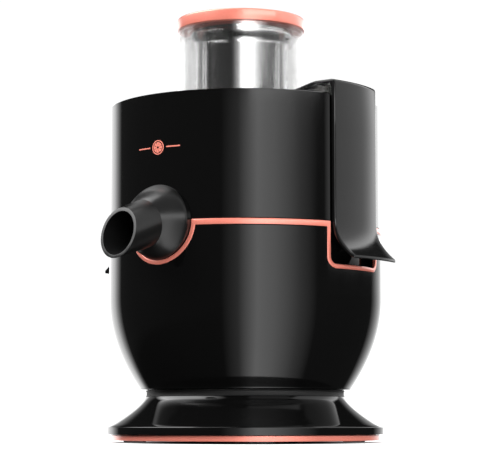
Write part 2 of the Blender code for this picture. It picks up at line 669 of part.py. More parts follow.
def make_pusher(shop):
    origin = (0, CHIMNEY_Y, PUSHER_BOTTOM)
    outline = [(0, PUSHER_BOTTOM), (PUSHER_R - 2, PUSHER_BOTTOM), (PUSHER_R, PUSHER_BOTTOM + 2), (PUSHER_R, 318),
               (38.2, 320.6), (PUSHER_FLARE_R, 324.8), (PUSHER_FLARE_R, 332.0), (PUSHER_FLARE_R - 2, 332.0),
               (PUSHER_FLARE_R - 2, 325.4), (36.2, 321.6), (PUSHER_R - 2, 318), (PUSHER_R - 2, 202.4), (0, 202.4)]
    shop.piece("pusher_body", turned_solid(outline, 28, CHIMNEY_Y), "steel", origin)
    shop.piece("pusher_cap", turned_ring([(CAP_R - 1.6, CAP_TOP), (CAP_R - 0.4, CAP_TOP - 0.6), (CAP_R, CAP_TOP - 2),
                                          (CAP_R, CAP_BOTTOM + 0.4), (CAP_R - 0.4, CAP_BOTTOM),
                                          (PUSHER_FLARE_R + GAP, CAP_BOTTOM), (PUSHER_FLARE_R + GAP, CAP_TOP)],
                                         ROUND, CHIMNEY_Y), "copper", origin)
    shop.piece("pusher_top", turned_solid([(0, 336.0), (30, 336.6), (36, CAP_TOP - 0.6), (PUSHER_FLARE_R, CAP_TOP - 0.6),
                                           (PUSHER_FLARE_R, 332.3), (0, 332.3)], 28, CHIMNEY_Y), "gloss_black", origin)


# ---------------------------------------------------------------- latches

def latch_section():
    """The latch cut through its middle, as (distance from the juicer's axis, height)."""
    lip = [(127.2, 138.9), (128.3, 139.6), (128.2, 141.2), (122.6, 146.0), (117.4, 151.8), (113.9, 157.4),
           (112.0, 162.8)]
    plate = [(LATCH_R, 170.0), (LATCH_R, LATCH_TOP - 2.6), (LATCH_R - 1.0, LATCH_TOP - 0.6), (LATCH_R - 3, LATCH_TOP)]
    hook = [(94.0, LATCH_TOP), (76.0, 273.6), (73.4, 271.8), (73.0, 267.8), (95.0, 267.5), (96.0, 274.2)]
    back = [(LATCH_INNER_R - 0.6, 274.2), (LATCH_INNER_R, 273.4), (LATCH_INNER_R, 169.4), (109.0, 161.6),
            (111.5, 155.6), (115.4, 149.6), (120.8, 143.6)]
    return lip + plate + hook + back


def latch_mesh(stations=8):
    section = latch_section()
    rings = []
    bm = bmesh.new()
    for step in range(stations + 1):
        y = LATCH_HALF_WIDTH * (2 * step / stations - 1)
        rings.append([bm.verts.new((math.sqrt(r * r - y * y), y, z)) for r, z in section])
    count = len(section)
    for near, far in zip(rings, rings[1:]):
        for i in range(count):
            j = (i + 1) % count
            bm.faces.new((near[i], near[j], far[j], far[i]))
    bm.faces.new(rings[0])
    bm.faces.new(rings[-1])
    return bm


def arm_outline():
    """A latch arm from the side: round about the pivot, and straight up to the plate."""
    outline = []
    for step in range(7):
        angle = math.radians(180 + 30 * step)
        outline.append((PIVOT_X + 3.3 * math.cos(angle), PIVOT_Z + 3.3 * math.sin(angle)))
    return outline + [(PIVOT_X + 4.2, 170.0), (PIVOT_X - 1.6, 170.0)]


def make_latches(shop):
    for name, turn_degrees in (("right", 0), ("left", 180)):
        turn = Matrix.Rotation(math.radians(turn_degrees), 4, "Z")
        pivot = turn @ Vector((PIVOT_X, 0, PIVOT_Z))
        latch = shop.piece(f"latch_{name}", moved(latch_mesh(), turn), "gloss_black", pivot)
        arms = [extruded(arm_outline(), 9.4, 14.0), extruded(arm_outline(), -14.0, -9.4)]
        shop.tool(latch, f"add_latch_arms_{name}", moved(together(*arms), turn), "UNION")
        hole = moved(rod(PIN_R + GAP, -20, 20, TINY), TO_BACK, (PIVOT_X, 0, PIVOT_Z))
        shop.tool(latch, f"cut_latch_{name}", moved(hole, turn))
        pin = moved(rod(PIN_R, -14.3, 14.3, TINY), TO_BACK, (PIVOT_X, 0, PIVOT_Z))
        shop.piece(f"latch_pin_{name}", moved(pin, turn), "steel", pivot)


def main():
    clear_scene()
    shop = Workshop()
    make_base(shop)
    make_motor_housing(shop)
    make_housing_trim(shop)
    make_motor_deck(shop)
    make_motor(shop)
    make_rotor(shop)
    make_electrics(shop)
    make_selector(shop)
    make_upper_housing(shop)
    make_juice_collector(shop)
    make_basket(shop)
    make_spout(shop)
    make_lid(shop)
    make_pusher(shop)
    make_latches(shop)


main()
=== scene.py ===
import json
import math

import bpy
from mathutils import Matrix, Vector


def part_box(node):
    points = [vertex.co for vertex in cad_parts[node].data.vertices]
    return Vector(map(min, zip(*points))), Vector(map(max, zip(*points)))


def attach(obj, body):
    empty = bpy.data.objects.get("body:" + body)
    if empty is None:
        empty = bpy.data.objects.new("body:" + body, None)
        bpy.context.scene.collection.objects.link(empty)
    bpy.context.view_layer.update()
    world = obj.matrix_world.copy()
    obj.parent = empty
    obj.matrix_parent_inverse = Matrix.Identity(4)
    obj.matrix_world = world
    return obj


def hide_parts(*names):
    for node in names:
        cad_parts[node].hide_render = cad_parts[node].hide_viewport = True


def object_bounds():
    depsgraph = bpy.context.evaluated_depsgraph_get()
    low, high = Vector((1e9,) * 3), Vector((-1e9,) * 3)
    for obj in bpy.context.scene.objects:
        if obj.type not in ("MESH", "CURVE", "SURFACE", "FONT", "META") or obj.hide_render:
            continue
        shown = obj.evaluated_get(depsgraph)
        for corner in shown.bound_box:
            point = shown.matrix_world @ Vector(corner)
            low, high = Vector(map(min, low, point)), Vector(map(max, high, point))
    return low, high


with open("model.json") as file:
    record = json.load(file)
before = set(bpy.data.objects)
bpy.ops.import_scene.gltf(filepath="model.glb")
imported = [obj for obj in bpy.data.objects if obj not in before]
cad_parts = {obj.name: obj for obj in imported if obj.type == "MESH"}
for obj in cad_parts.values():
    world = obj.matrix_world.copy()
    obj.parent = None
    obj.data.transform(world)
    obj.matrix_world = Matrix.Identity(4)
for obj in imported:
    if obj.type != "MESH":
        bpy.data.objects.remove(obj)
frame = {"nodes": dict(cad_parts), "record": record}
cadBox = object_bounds()
mm = 0.001
skirtLow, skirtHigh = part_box("base_skirt")
axisY = (skirtLow.y + skirtHigh.y) / 2          # the drum's own axis stands at (0, axisY)
chimneyLow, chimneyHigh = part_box("pusher_cap")
chimneyY = (chimneyLow.y + chimneyHigh.y) / 2 - axisY
print("frame loaded, drum axis at y", round(axisY, 4))


cameraSet = {
    "azimuth": 37.3,        # degrees round from the spout
    "distance": 1.523,      # metres from the drum's axis
    "height": 0.016,        # eye level, just over the table
    "pitch": 5.92,          # looking slightly up
    "yaw": -0.142,          # the juicer stands a little left of the middle
    "lens": 136.8,
}


facing = math.radians(cameraSet["azimuth"])
towardViewer = (math.sin(facing), -math.cos(facing), 0)
towardRight = (math.cos(facing), math.sin(facing), 0)


def makeCamera(s):
    away = s["distance"]
    data = bpy.data.cameras.new("camera")
    data.lens = s["lens"]
    data.sensor_width = 36.0
    data.clip_end = 50.0
    camera = bpy.data.objects.new("camera", data)
    bpy.context.scene.collection.objects.link(camera)
    camera.location = (towardViewer[0] * away, axisY + towardViewer[1] * away, s["height"])
    camera.rotation_euler = (math.radians(90 + s["pitch"]), 0, math.radians(s["azimuth"] + s["yaw"]))
    bpy.context.scene.camera = camera
    print("camera placed")


class Wire:
    # A socket that can be used in sums; numbers and other sockets both work on either side.

    def __init__(self, paint, socket):
        self.paint = paint
        self.socket = socket

    def math(self, operation, other=None, flip=False, clamp=False):
        values = {0: self} if other is None else ({0: other, 1: self} if flip else {0: self, 1: other})
        return self.paint.wire("ShaderNodeMath", {"operation": operation, "use_clamp": clamp}, values)

    def __add__(self, other):
        return self.math("ADD", other)

    def __radd__(self, other):
        return self.math("ADD", other, True)

    def __sub__(self, other):
        return self.math("SUBTRACT", other)

    def __rsub__(self, other):
        return self.math("SUBTRACT", other, True)

    def __mul__(self, other):
        return self.math("MULTIPLY", other)

    def __rmul__(self, other):
        return self.math("MULTIPLY", other, True)

    def __truediv__(self, other):
        return self.math("DIVIDE", other)

    def __pow__(self, other):
        return self.math("POWER", other)


class Paint:
    # One node tree, of a material or of the world, with short ways to add nodes.

    def __init__(self, tree):
        self.tree = tree

    def add(self, kind, settings=None, values=None):
        node = self.tree.nodes.new(kind)
        for name, value in (settings or {}).items():
            if name == "stops":
                self.setStops(node.color_ramp, value)
            else:
                setattr(node, name, value)
        for key, value in (values or {}).items():
            if isinstance(value, Wire):
                self.tree.links.new(value.socket, node.inputs[key])
            else:
                node.inputs[key].default_value = value
        return node

    def setStops(self, ramp, stops):
        while len(ramp.elements) > 1:
            ramp.elements.remove(ramp.elements[-1])
        ramp.elements[0].position, ramp.elements[0].color = stops[0][0], stops[0][1]
        for place, colour in stops[1:]:
            ramp.elements.new(place).color = colour

    def wire(self, kind, settings=None, values=None, output=0):
        return Wire(self, self.add(kind, settings, values).outputs[output])

    def place(self, stretch=(1, 1, 1), centre=(0, 0, 0), turn=(0, 0, 0)):
        where = self.wire("ShaderNodeTexCoord", output="Object")
        back = tuple(-c for c in centre)
        moved = self.wire("ShaderNodeMapping", None, {"Vector": where, "Location": back})
        return self.wire("ShaderNodeMapping", None, {"Vector": moved, "Rotation": turn, "Scale": stretch})

    def noise(self, scale, detail=3.0, rough=0.5, stretch=(1, 1, 1)):
        return self.wire("ShaderNodeTexNoise", None, {"Vector": self.place(stretch), "Scale": scale,
                                                      "Detail": detail, "Roughness": rough})

    def soft(self, value, low, high, outLow=0.0, outHigh=1.0):
        ends = {"Value": value, "From Min": low, "From Max": high, "To Min": outLow, "To Max": outHigh}
        return self.wire("ShaderNodeMapRange", {"interpolation_type": "SMOOTHSTEP"}, ends)

    def along(self, way, direction):
        return self.wire("ShaderNodeVectorMath", {"operation": "DOT_PRODUCT"}, {0: way, 1: direction}, "Value")

    def mix(self, share, first, second):
        node = self.add("ShaderNodeMix", {"data_type": "RGBA"})
        for key, value in ((0, share), (6, first), (7, second)):
            if isinstance(value, Wire):
                self.tree.links.new(value.socket, node.inputs[key])
            else:
                node.inputs[key].default_value = value
        return Wire(self, node.outputs[2])


def grey(level):
    return (level, level, level, 1.0)


class Finish(Paint):
    # A material with one Principled shader.

    def __init__(self, name):
        self.material = bpy.data.materials.new(name)
        self.material.use_nodes = True
        super().__init__(self.material.node_tree)
        self.shader = self.tree.nodes["Principled BSDF"]

    def put(self, **values):
        for name, value in values.items():
            socket = self.shader.inputs[name.replace("_", " ")]
            if isinstance(value, Wire):
                self.tree.links.new(value.socket, socket)
            else:
                socket.default_value = value

    def bump(self, height, distance, strength=1.0):
        values = {"Height": height, "Distance": distance, "Strength": strength}
        node = self.add("ShaderNodeBump", None, values)
        self.tree.links.new(node.outputs[0], self.shader.inputs["Normal"])


def makeGlossBlack(name="glossBlack", level=0.0022, rough=0.05):
    f = Finish(name)
    cloud = f.noise(9.0, 4, 0.6)
    smear = f.noise(40.0, 5, 0.7, (1, 1, 0.25))
    dust = f.soft(f.noise(900.0, 2, 0.5), 0.68, 0.78)
    colour = f.mix(cloud, grey(level * 0.85), grey(level * 1.2))
    f.put(Base_Color=f.mix(dust * 0.25, colour, grey(level * 6)),
          Roughness=rough + 0.03 * f.soft(smear, 0.45, 0.75) + 0.02 * cloud + 0.12 * dust, IOR=1.5)
    f.bump(f.noise(160.0, 2, 0.5) * 0.6 + dust * 0.4, 0.00002, 0.25)
    return f.material


def makeMatteBlack():
    f = Finish("matteBlack")
    grain = f.noise(1400.0, 2, 0.6)
    cloud = f.noise(22.0, 4, 0.6)
    f.put(Base_Color=f.mix(cloud, grey(0.004), grey(0.009)), Roughness=0.46 + 0.18 * grain + 0.08 * cloud)
    f.bump(grain, 0.00006, 0.5)
    return f.material


def makeCopper():
    f = Finish("copperTrim")
    flake = f.noise(2600.0, 2, 0.6)
    cloud = f.noise(30.0, 3, 0.6)
    warm = f.mix(cloud, (0.82, 0.225, 0.165, 1), (0.90, 0.27, 0.20, 1))
    f.put(Base_Color=f.mix(f.soft(flake, 0.55, 0.75), warm, (0.98, 0.40, 0.32, 1)),
          Roughness=0.22 + 0.10 * flake + 0.05 * cloud, Metallic=0.35, Coat_Weight=0.8, Coat_Roughness=0.06)
    f.bump(flake, 0.00002, 0.4)
    return f.material


def makeSteel(name, level, rough, lines):
    f = Finish(name)
    streak = f.noise(60.0, 4, 0.6, lines)
    cloud = f.noise(14.0, 3, 0.6)
    f.put(Base_Color=f.mix(cloud, grey(level * 0.93), grey(level)),
          Roughness=rough + 0.05 * streak + 0.03 * cloud, Metallic=1.0)
    f.bump(streak, 0.00002, 0.25)
    return f.material


def makeIron():
    f = Finish("laminatedIron")
    height = f.wire("ShaderNodeSeparateXYZ", None, {0: f.place()}, 2)
    sheet = (height * 12566.0).math("SINE") * 0.5 + 0.5          # a sheet each half millimetre
    cloud = f.noise(50.0, 4, 0.6)
    colour = f.mix(cloud, (0.13, 0.13, 0.14, 1), (0.22, 0.21, 0.21, 1))
    f.put(Base_Color=f.mix(f.soft(sheet, 0.0, 0.25), grey(0.03), colour),
          Roughness=0.42 + 0.2 * cloud, Metallic=0.9)
    f.bump(sheet, 0.0001, 0.5)
    return f.material


def makeWinding():
    f = Finish("enamelledCopper")
    bands = f.wire("ShaderNodeTexWave", {"wave_type": "BANDS", "bands_direction": "Z"},
                   {"Vector": f.place((1, 1, 1)), "Scale": 420.0, "Distortion": 3.0, "Detail": 2.0,
                    "Detail Scale": 2.0}, 1)
    cloud = f.noise(60.0, 3, 0.6)
    colour = f.mix(cloud, (0.42, 0.13, 0.035, 1), (0.60, 0.22, 0.07, 1))
    f.put(Base_Color=f.mix(bands, (0.14, 0.04, 0.012, 1), colour),
          Roughness=0.30 + 0.15 * cloud, Metallic=0.8)
    f.bump(bands, 0.0002, 0.7)
    return f.material


def makeClear():
    f = Finish("clearPlastic")
    haze = f.noise(24.0, 4, 0.6)
    scuff = f.soft(f.noise(300.0, 3, 0.6, (1, 1, 0.08)), 0.62, 0.8)
    f.put(Base_Color=f.mix(haze, grey(0.97), grey(0.995)), Roughness=0.012 + 0.02 * haze + 0.05 * scuff,
          Transmission_Weight=1.0, IOR=1.3)
    f.bump(haze, 0.00002, 0.2)
    straight = f.add("ShaderNodeBsdfTransparent", None, {"Color": grey(0.985)})
    pick = f.add("ShaderNodeMixShader", None, {0: 0.72})
    f.tree.links.new(f.shader.outputs[0], pick.inputs[1])
    f.tree.links.new(straight.outputs[0], pick.inputs[2])
    f.tree.links.new(pick.outputs[0], f.tree.nodes["Material Output"].inputs[0])
    return f.material


def makeRubber():
    f = Finish("softRubber")
    grain = f.noise(900.0, 3, 0.6)
    cloud = f.noise(30.0, 3, 0.6)
    f.put(Base_Color=f.mix(cloud, grey(0.012), grey(0.026)), Roughness=0.68 + 0.2 * grain)
    f.bump(grain, 0.0001, 0.5)
    return f.material


def makeCarbon():
    f = Finish("pressedCarbon")
    grain = f.noise(700.0, 4, 0.7)
    f.put(Base_Color=f.mix(grain, grey(0.008), grey(0.05)), Roughness=0.55 + 0.25 * grain, Metallic=0.2)
    f.bump(grain, 0.0001, 0.6)
    return f.material


def makeBoard():
    f = Finish("circuitBoard")
    tracks = f.wire("ShaderNodeTexBrick", {"offset": 0.5},
                    {"Vector": f.place((1, 1, 1), (0, 0, 0), (0, math.radians(90), 0)), "Scale": 130.0,
                     "Mortar Size": 0.06, "Mortar Smooth": 0.1}, 1)
    cloud = f.noise(80.0, 3, 0.5)
    green = f.mix(cloud, (0.008, 0.07, 0.025, 1), (0.015, 0.12, 0.045, 1))
    f.put(Base_Color=f.mix(tracks, green, (0.45, 0.33, 0.12, 1)), Roughness=0.32 + 0.2 * cloud,
          Metallic=tracks * 0.8)
    f.bump(tracks, 0.00006, 0.6)
    return f.material


def makeWhitePlastic():
    f = Finish("whitePlastic")
    grain = f.noise(1100.0, 2, 0.6)
    cloud = f.noise(18.0, 3, 0.6)
    f.put(Base_Color=f.mix(cloud, (0.60, 0.60, 0.57, 1), (0.72, 0.72, 0.70, 1)),
          Roughness=0.32 + 0.14 * grain)
    f.bump(grain, 0.00005, 0.4)
    return f.material


def makeSmoke():
    f = Finish("smokePlastic")
    cloud = f.noise(14.0, 3, 0.6)
    smear = f.noise(60.0, 4, 0.7)
    f.put(Base_Color=f.mix(cloud, grey(0.014), grey(0.024)), Roughness=0.10 + 0.12 * smear)
    f.bump(f.noise(300.0, 2, 0.5), 0.00003, 0.3)
    return f.material


def makeStrainer():
    # Fine round holes in staggered rows, on top of polished steel; the holes are painted near-black, painted
    # shade in place of the view through them.
    f = Finish("strainerMesh")
    where = f.place((1, 1, 1), (0, axisY, 0))
    parts = f.add("ShaderNodeSeparateXYZ", None, {0: where})
    x, y, z = (Wire(f, parts.outputs[i]) for i in range(3))
    around = y.math("ARCTAN2", x) * (170 / (2 * math.pi))       # columns round the cone
    along = z * (1 / 0.0019)                                    # rows up the cone
    shift = (along.math("FLOOR") * 0.5).math("FRACT")
    across = ((around + shift).math("FRACT") - 0.5) ** 2.0
    down = (along.math("FRACT") - 0.5) ** 2.0
    metal = f.soft((across + down).math("SQRT"), 0.24, 0.30)
    streak = f.noise(60.0, 3, 0.6, (1, 1, 6))
    # painted shade: where the mask marks a hole, the colour drops to near-black
    f.put(Base_Color=f.mix(metal, grey(0.01), grey(0.66)), Roughness=0.22 + 0.1 * streak, Metallic=metal)
    f.bump(metal, 0.0002, 0.6)
    return f.material


def startEdit(obj, what="VERT"):
    bpy.ops.object.select_all(action="DESELECT")
    obj.select_set(True)
    bpy.context.view_layer.objects.active = obj
    bpy.ops.object.mode_set(mode="EDIT")
    bpy.ops.mesh.select_mode(type=what)


def endEdit():
    bpy.ops.object.mode_set(mode="OBJECT")


def freeze(obj):
    # Puts the object's place into its mesh.
    bpy.ops.object.select_all(action="DESELECT")
    obj.select_set(True)
    bpy.context.view_layer.objects.active = obj
    bpy.ops.object.transform_apply(location=True, rotation=True, scale=True)


def tidyMesh(obj):
    startEdit(obj)
    bpy.ops.mesh.select_all(action="SELECT")
    bpy.ops.mesh.remove_doubles(threshold=0.000002)
    bpy.ops.mesh.normals_make_consistent(inside=False)
    endEdit()


def drawOutline(name, points, y=0.0):
    # Draws (x, z) points in millimetres as a chain of edges, by extruding one corner.
    bpy.ops.object.select_all(action="DESELECT")
    first = points[0]
    bpy.ops.mesh.primitive_plane_add(size=mm, location=(first[0] * mm, axisY + y * mm, first[1] * mm))
    obj = bpy.context.object
    obj.name = name
    freeze(obj)
    startEdit(obj)
    bpy.ops.mesh.select_all(action="SELECT")
    bpy.ops.mesh.merge(type="CENTER")
    for here, there in zip(points, points[1:]):
        step = ((there[0] - here[0]) * mm, 0, (there[1] - here[1]) * mm)
        bpy.ops.mesh.extrude_region_move(TRANSFORM_OT_translate={"value": step})
    endEdit()
    return obj


def turned(name, points, steps=128, angle=2 * math.pi, centreY=0.0, closed=True):
    # Spins an outline of (radius, height) about an upright axis; a closed outline joins its ends.
    outline = points + [points[0]] if closed else points
    obj = drawOutline(name, outline, centreY)
    startEdit(obj)
    bpy.ops.mesh.select_all(action="SELECT")
    bpy.ops.mesh.spin(steps=steps, angle=angle, center=(0, axisY + centreY * mm, 0), axis=(0, 0, 1))
    endEdit()
    tidyMesh(obj)
    return obj


def sector(name, points, centreDegrees, halfDegrees, steps=12):
    # A closed wedge: a filled outline spun through a small angle about the drum's axis.
    obj = drawOutline(name, points + [points[0]])
    startEdit(obj)
    bpy.ops.mesh.select_all(action="SELECT")
    bpy.ops.mesh.remove_doubles(threshold=0.000002)
    bpy.ops.mesh.edge_face_add()
    # the spin runs clockwise, so the outline starts at the far side
    start = Matrix.Rotation(math.radians(centreDegrees + halfDegrees), 4, "Z")
    hub = Matrix.Translation((0, axisY, 0))
    obj.data.update()
    endEdit()
    obj.data.transform(hub @ start @ hub.inverted())
    startEdit(obj)
    bpy.ops.mesh.select_all(action="SELECT")
    sweep = math.radians(2 * halfDegrees)
    bpy.ops.mesh.spin(steps=steps, angle=sweep, center=(0, axisY, 0), axis=(0, 0, 1))
    endEdit()
    tidyMesh(obj)
    return obj


def layAlong(obj, matrix, place):
    # Turns a shape that was made upright about the drum's axis, and moves its foot to place.
    hub = Matrix.Translation((0, -axisY, 0))
    obj.data.transform(Matrix.Translation(place) @ matrix @ hub)
    return obj


def slab(name, outline, thick, start=0.0, slices=1):
    # a filled outline given a thickness along y, in equal slices
    obj = drawOutline(name, outline + [outline[0]], start)
    startEdit(obj)
    bpy.ops.mesh.select_all(action="SELECT")
    bpy.ops.mesh.remove_doubles(threshold=0.000002)
    bpy.ops.mesh.edge_face_add()
    for i in range(slices):
        bpy.ops.mesh.extrude_region_move(TRANSFORM_OT_translate={"value": (0, thick * mm / slices, 0)})
    endEdit()
    tidyMesh(obj)
    return obj


def joinAll(parts):
    bpy.ops.object.select_all(action="DESELECT")
    for part in parts:
        part.select_set(True)
    bpy.context.view_layer.objects.active = parts[0]
    bpy.ops.object.join()
    return parts[0]


toFront = Matrix.Rotation(math.radians(90), 4, "X")
toBack = Matrix.Rotation(math.radians(-90), 4, "X")


def barrel(name, radius, bottom, top, steps=64):
    return turned(name, [(0, bottom), (radius, bottom), (radius, top), (0, top)], steps, closed=False)


def box(name, low, high):
    # A block between two corners, in millimetres from the drum's axis.
    bpy.ops.object.select_all(action="DESELECT")
    centre = [(a + b) / 2 * mm for a, b in zip(low, high)]
    bpy.ops.mesh.primitive_cube_add(size=1, location=(centre[0], centre[1] + axisY, centre[2]))
    obj = bpy.context.object
    obj.name = name
    obj.scale = [(b - a) * mm for a, b in zip(low, high)]
    freeze(obj)
    return obj


def applyModifier(obj, kind, **settings):
    modifier = obj.modifiers.new("m", kind)
    for name, value in settings.items():
        setattr(modifier, name, value)
    bpy.ops.object.select_all(action="DESELECT")
    obj.select_set(True)
    bpy.context.view_layer.objects.active = obj
    bpy.ops.object.modifier_apply(modifier=modifier.name)


def carve(obj, tool, operation="DIFFERENCE"):
    applyModifier(obj, "BOOLEAN", object=tool, operation=operation, solver="EXACT")
    bpy.data.objects.remove(tool)
    tidyMesh(obj)


def roundEdges(obj, width, segments=2, degrees=35):
    applyModifier(obj, "BEVEL", width=width * mm, segments=segments, limit_method="ANGLE",
                  angle_limit=math.radians(degrees), use_clamp_overlap=True)


def finishPiece(obj, body, material, replaced=(), smoothDegrees=32):
    bpy.ops.object.select_all(action="DESELECT")
    obj.select_set(True)
    bpy.context.view_layer.objects.active = obj
    bpy.ops.object.shade_smooth_by_angle(angle=math.radians(smoothDegrees))
    obj.data.materials.clear()
    obj.data.materials.append(material)
    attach(obj, body)
    if replaced:
        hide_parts(*replaced)
    print("made", obj.name, len(obj.data.polygons))


def arc(centreX, centreZ, radius, start, stop, steps=6):
    # Points on an arc, from start to stop degrees.
    points = []
    for i in range(steps + 1):
        angle = math.radians(start + (stop - start) * i / steps)
        points.append((centreX + radius * math.cos(angle), centreZ + radius * math.sin(angle)))
    return points


bigSteps, midSteps, smallSteps = 160, 128, 96        # facets round a large, a middling and a small piece

base = {
    "rimR": 110.4, "rimBottom": 6.2, "rimTop": 12.2,
    "rimLowRound": 0.6, "rimHighRound": 0.8, "shoulder": 0.6,
    "neckR": 80.2, "neckZ": 35.7,
    "flare": 1.4,               # how hollow the flare is
    "flareIn": 0.9, "flareUp": 0.5, "flareSteps": 14,
    "wall": 3.0, "drop": 1.6,   # the skirt's thickness, sideways and downwards
    "trimR": 107.2, "trimBottom": 1.5, "trimTop": 5.9, "trimWide": 2.9,
    "trimLowRound": 0.7, "trimHighRound": 0.5,
    "seal": [(74.0, 36.0), (79.2, 36.0), (78.6, 37.0), (78.6, 39.6), (79.4, 40.7), (74.0, 40.7)],
}


def makeBase(s, finishes):
    rimR, neckR, neckZ, wall = s["rimR"], s["neckR"], s["neckZ"], s["wall"]
    flare = []
    for i in range(s["flareSteps"] + 1):
        share = 1 - i / s["flareSteps"]
        flare.append((neckR + (rimR - s["flareIn"] - neckR) * share ** s["flare"],
                      neckZ - (neckZ - s["rimTop"] - s["flareUp"]) * share))
    low, high = s["rimLowRound"], s["rimHighRound"]
    rim = arc(rimR - low, s["rimBottom"] + low, low, -90, 0, 3)
    rim += arc(rimR - high, s["rimTop"] - s["shoulder"], high, 0, 50, 4)
    inner = [(r - wall, z - s["drop"]) for r, z in flare[:0:-1]]
    outline = rim + flare + [(neckR - wall, neckZ)] + inner + [(rimR - wall, s["rimBottom"])]
    skirt = turned("base_skirt_shell", outline, bigSteps)
    finishPiece(skirt, "base", finishes["glossBlack"], ["base_skirt"])

    r, bottom, top, inside = s["trimR"], s["trimBottom"], s["trimTop"], s["trimR"] - s["trimWide"]
    low, high = s["trimLowRound"], s["trimHighRound"]
    ring = arc(r - low, bottom + low, low, -90, 0, 4) + arc(r - high, top - high, high, 0, 90, 4)
    trim = turned("base_trim_band", [(inside, bottom)] + ring + [(inside, top)], bigSteps)
    finishPiece(trim, "base", finishes["copper"], ["base_trim_ring"])

    neck = turned("neck_seal", s["seal"], midSteps)
    finishPiece(neck, "base", finishes["matteBlack"], ["neck_ring"])


drum = {
    "r": 109.0, "wall": 3.0, "edge": 0.4,
    "gap": 0.3,                 # between outside pieces
    "housingFootR": 83.5, "housingBottom": 41.0, "bowlTop": 114.0, "footRound": 1.4, "footHoleR": 20.0,
    "parting": 165.8, "trimWidth": 4.3, "trimProud": 0.5, "trimThick": 2.6, "trimCrown": 0.35,
    "dipWidth": 3.2,            # the strip round the spout and the notches
    "rimZ": 266.6, "rimEdge": 0.5, "rebateZ": 263.5, "rebateWall": 1.7,
    "notchHalf": 16.5, "pocketHalf": 18.1,          # degrees
    "notchR": 101.5, "notchBottom": 135.4, "notchCorner": 6.0,
    "nestR": 101.2, "nestBottom": 137.0, "nestFloor": 3.0, "nestHoleR": 24.0,
    "lugFrom": 99.0, "lugTo": 107.2, "lugHalf": 9.0, "lugBottom": 146.6, "lugTop": 153.4, "lugRound": 1.5,
    "knobZ": 112.0, "bossR": 19.0, "bossFrom": 103.5, "bossTo": 110.2, "shaftHoleR": 3.6,
    "glandZ": 54.0, "glandHoleR": 7.3,
    "spoutZ": 167.0, "domeR": 28.7, "padFrom": 96.5, "padTo": 109.1, "ductR": 14.5,
    "cutFrom": 80.0, "cutTo": 125.0,                # radii that a tool through the wall spans
    "cutLow": 100.0, "cutHigh": 300.0,
}


def bowl(s, offset, bottom, steps=18):
    points = []
    foot, top = s["housingBottom"], s["bowlTop"]
    for i in range(steps + 1):
        z = top + (bottom - top) * i / steps
        share = (z - foot) / (top - foot)
        bulge = (s["r"] - s["housingFootR"]) * (1 - (1 - share) ** 2)
        points.append((s["housingFootR"] + bulge - offset, z))
    return points


def notchTool(s, side, grow):
    # the latch notch as a solid with rounded lower corners
    half = s["r"] * math.sin(math.radians(s["notchHalf"])) + grow
    bottom = s["notchBottom"] - grow
    corner = s["notchCorner"] + grow
    outline = [(half, s["rimZ"]), (-half, s["rimZ"])]
    outline += arc(-half + corner, bottom + corner, corner, 180, 270, 8)
    outline += arc(half - corner, bottom + corner, corner, 270, 360, 8)
    tool = slab("notch_tool", outline, 26)
    hub = Matrix.Translation((0, axisY, 0))
    turn = Matrix.Rotation(math.radians(-90 if side > 0 else 90), 4, "Z")
    tool.data.transform(hub @ turn @ Matrix.Translation((0, 95 * mm, 0)) @ hub.inverted())
    tidyMesh(tool)
    return tool


def wallTool(s, name, radius, z, way, steps=32):
    # a round bar through the drum's wall
    return layAlong(barrel(name, radius, s["cutFrom"], s["cutTo"], steps), way, (0, axisY, z * mm))


def makeMotorHousing(s, finishes):
    top = s["parting"] - s["trimWidth"] / 2 - s["gap"]
    r, wall, edge, curl = s["r"], s["wall"], s["edge"], s["footRound"]
    bottom, hole = s["housingBottom"], s["footHoleR"]
    outer = [(r - edge, top), (r, top - edge)] + bowl(s, 0, bottom + curl)
    foot = arc(s["housingFootR"] - edge, bottom + curl, curl, 0, -90, 4)
    inner = bowl(s, wall, bottom + wall)[::-1]
    outline = outer + foot + [(hole, bottom), (hole, bottom + wall)] + inner + [(r - wall, top)]
    housing = turned("motor_housing_shell", outline, bigSteps)
    boss = barrel("boss", s["bossR"], s["bossFrom"], s["bossTo"])
    carve(housing, layAlong(boss, toBack, (0, axisY, s["knobZ"] * mm)), "UNION")
    seat = s["domeR"] + s["dipWidth"] + 2 * s["gap"]
    carve(housing, wallTool(s, "seat", seat, s["spoutZ"], toFront, smallSteps))
    for side in (1, -1):
        carve(housing, notchTool(s, side, s["dipWidth"] + s["gap"]))
    carve(housing, wallTool(s, "shaft_hole", s["shaftHoleR"], s["knobZ"], toBack))
    carve(housing, wallTool(s, "gland_hole", s["glandHoleR"], s["glandZ"], toBack))
    finishPiece(housing, "base", finishes["glossBlack"], ["motor_housing"])


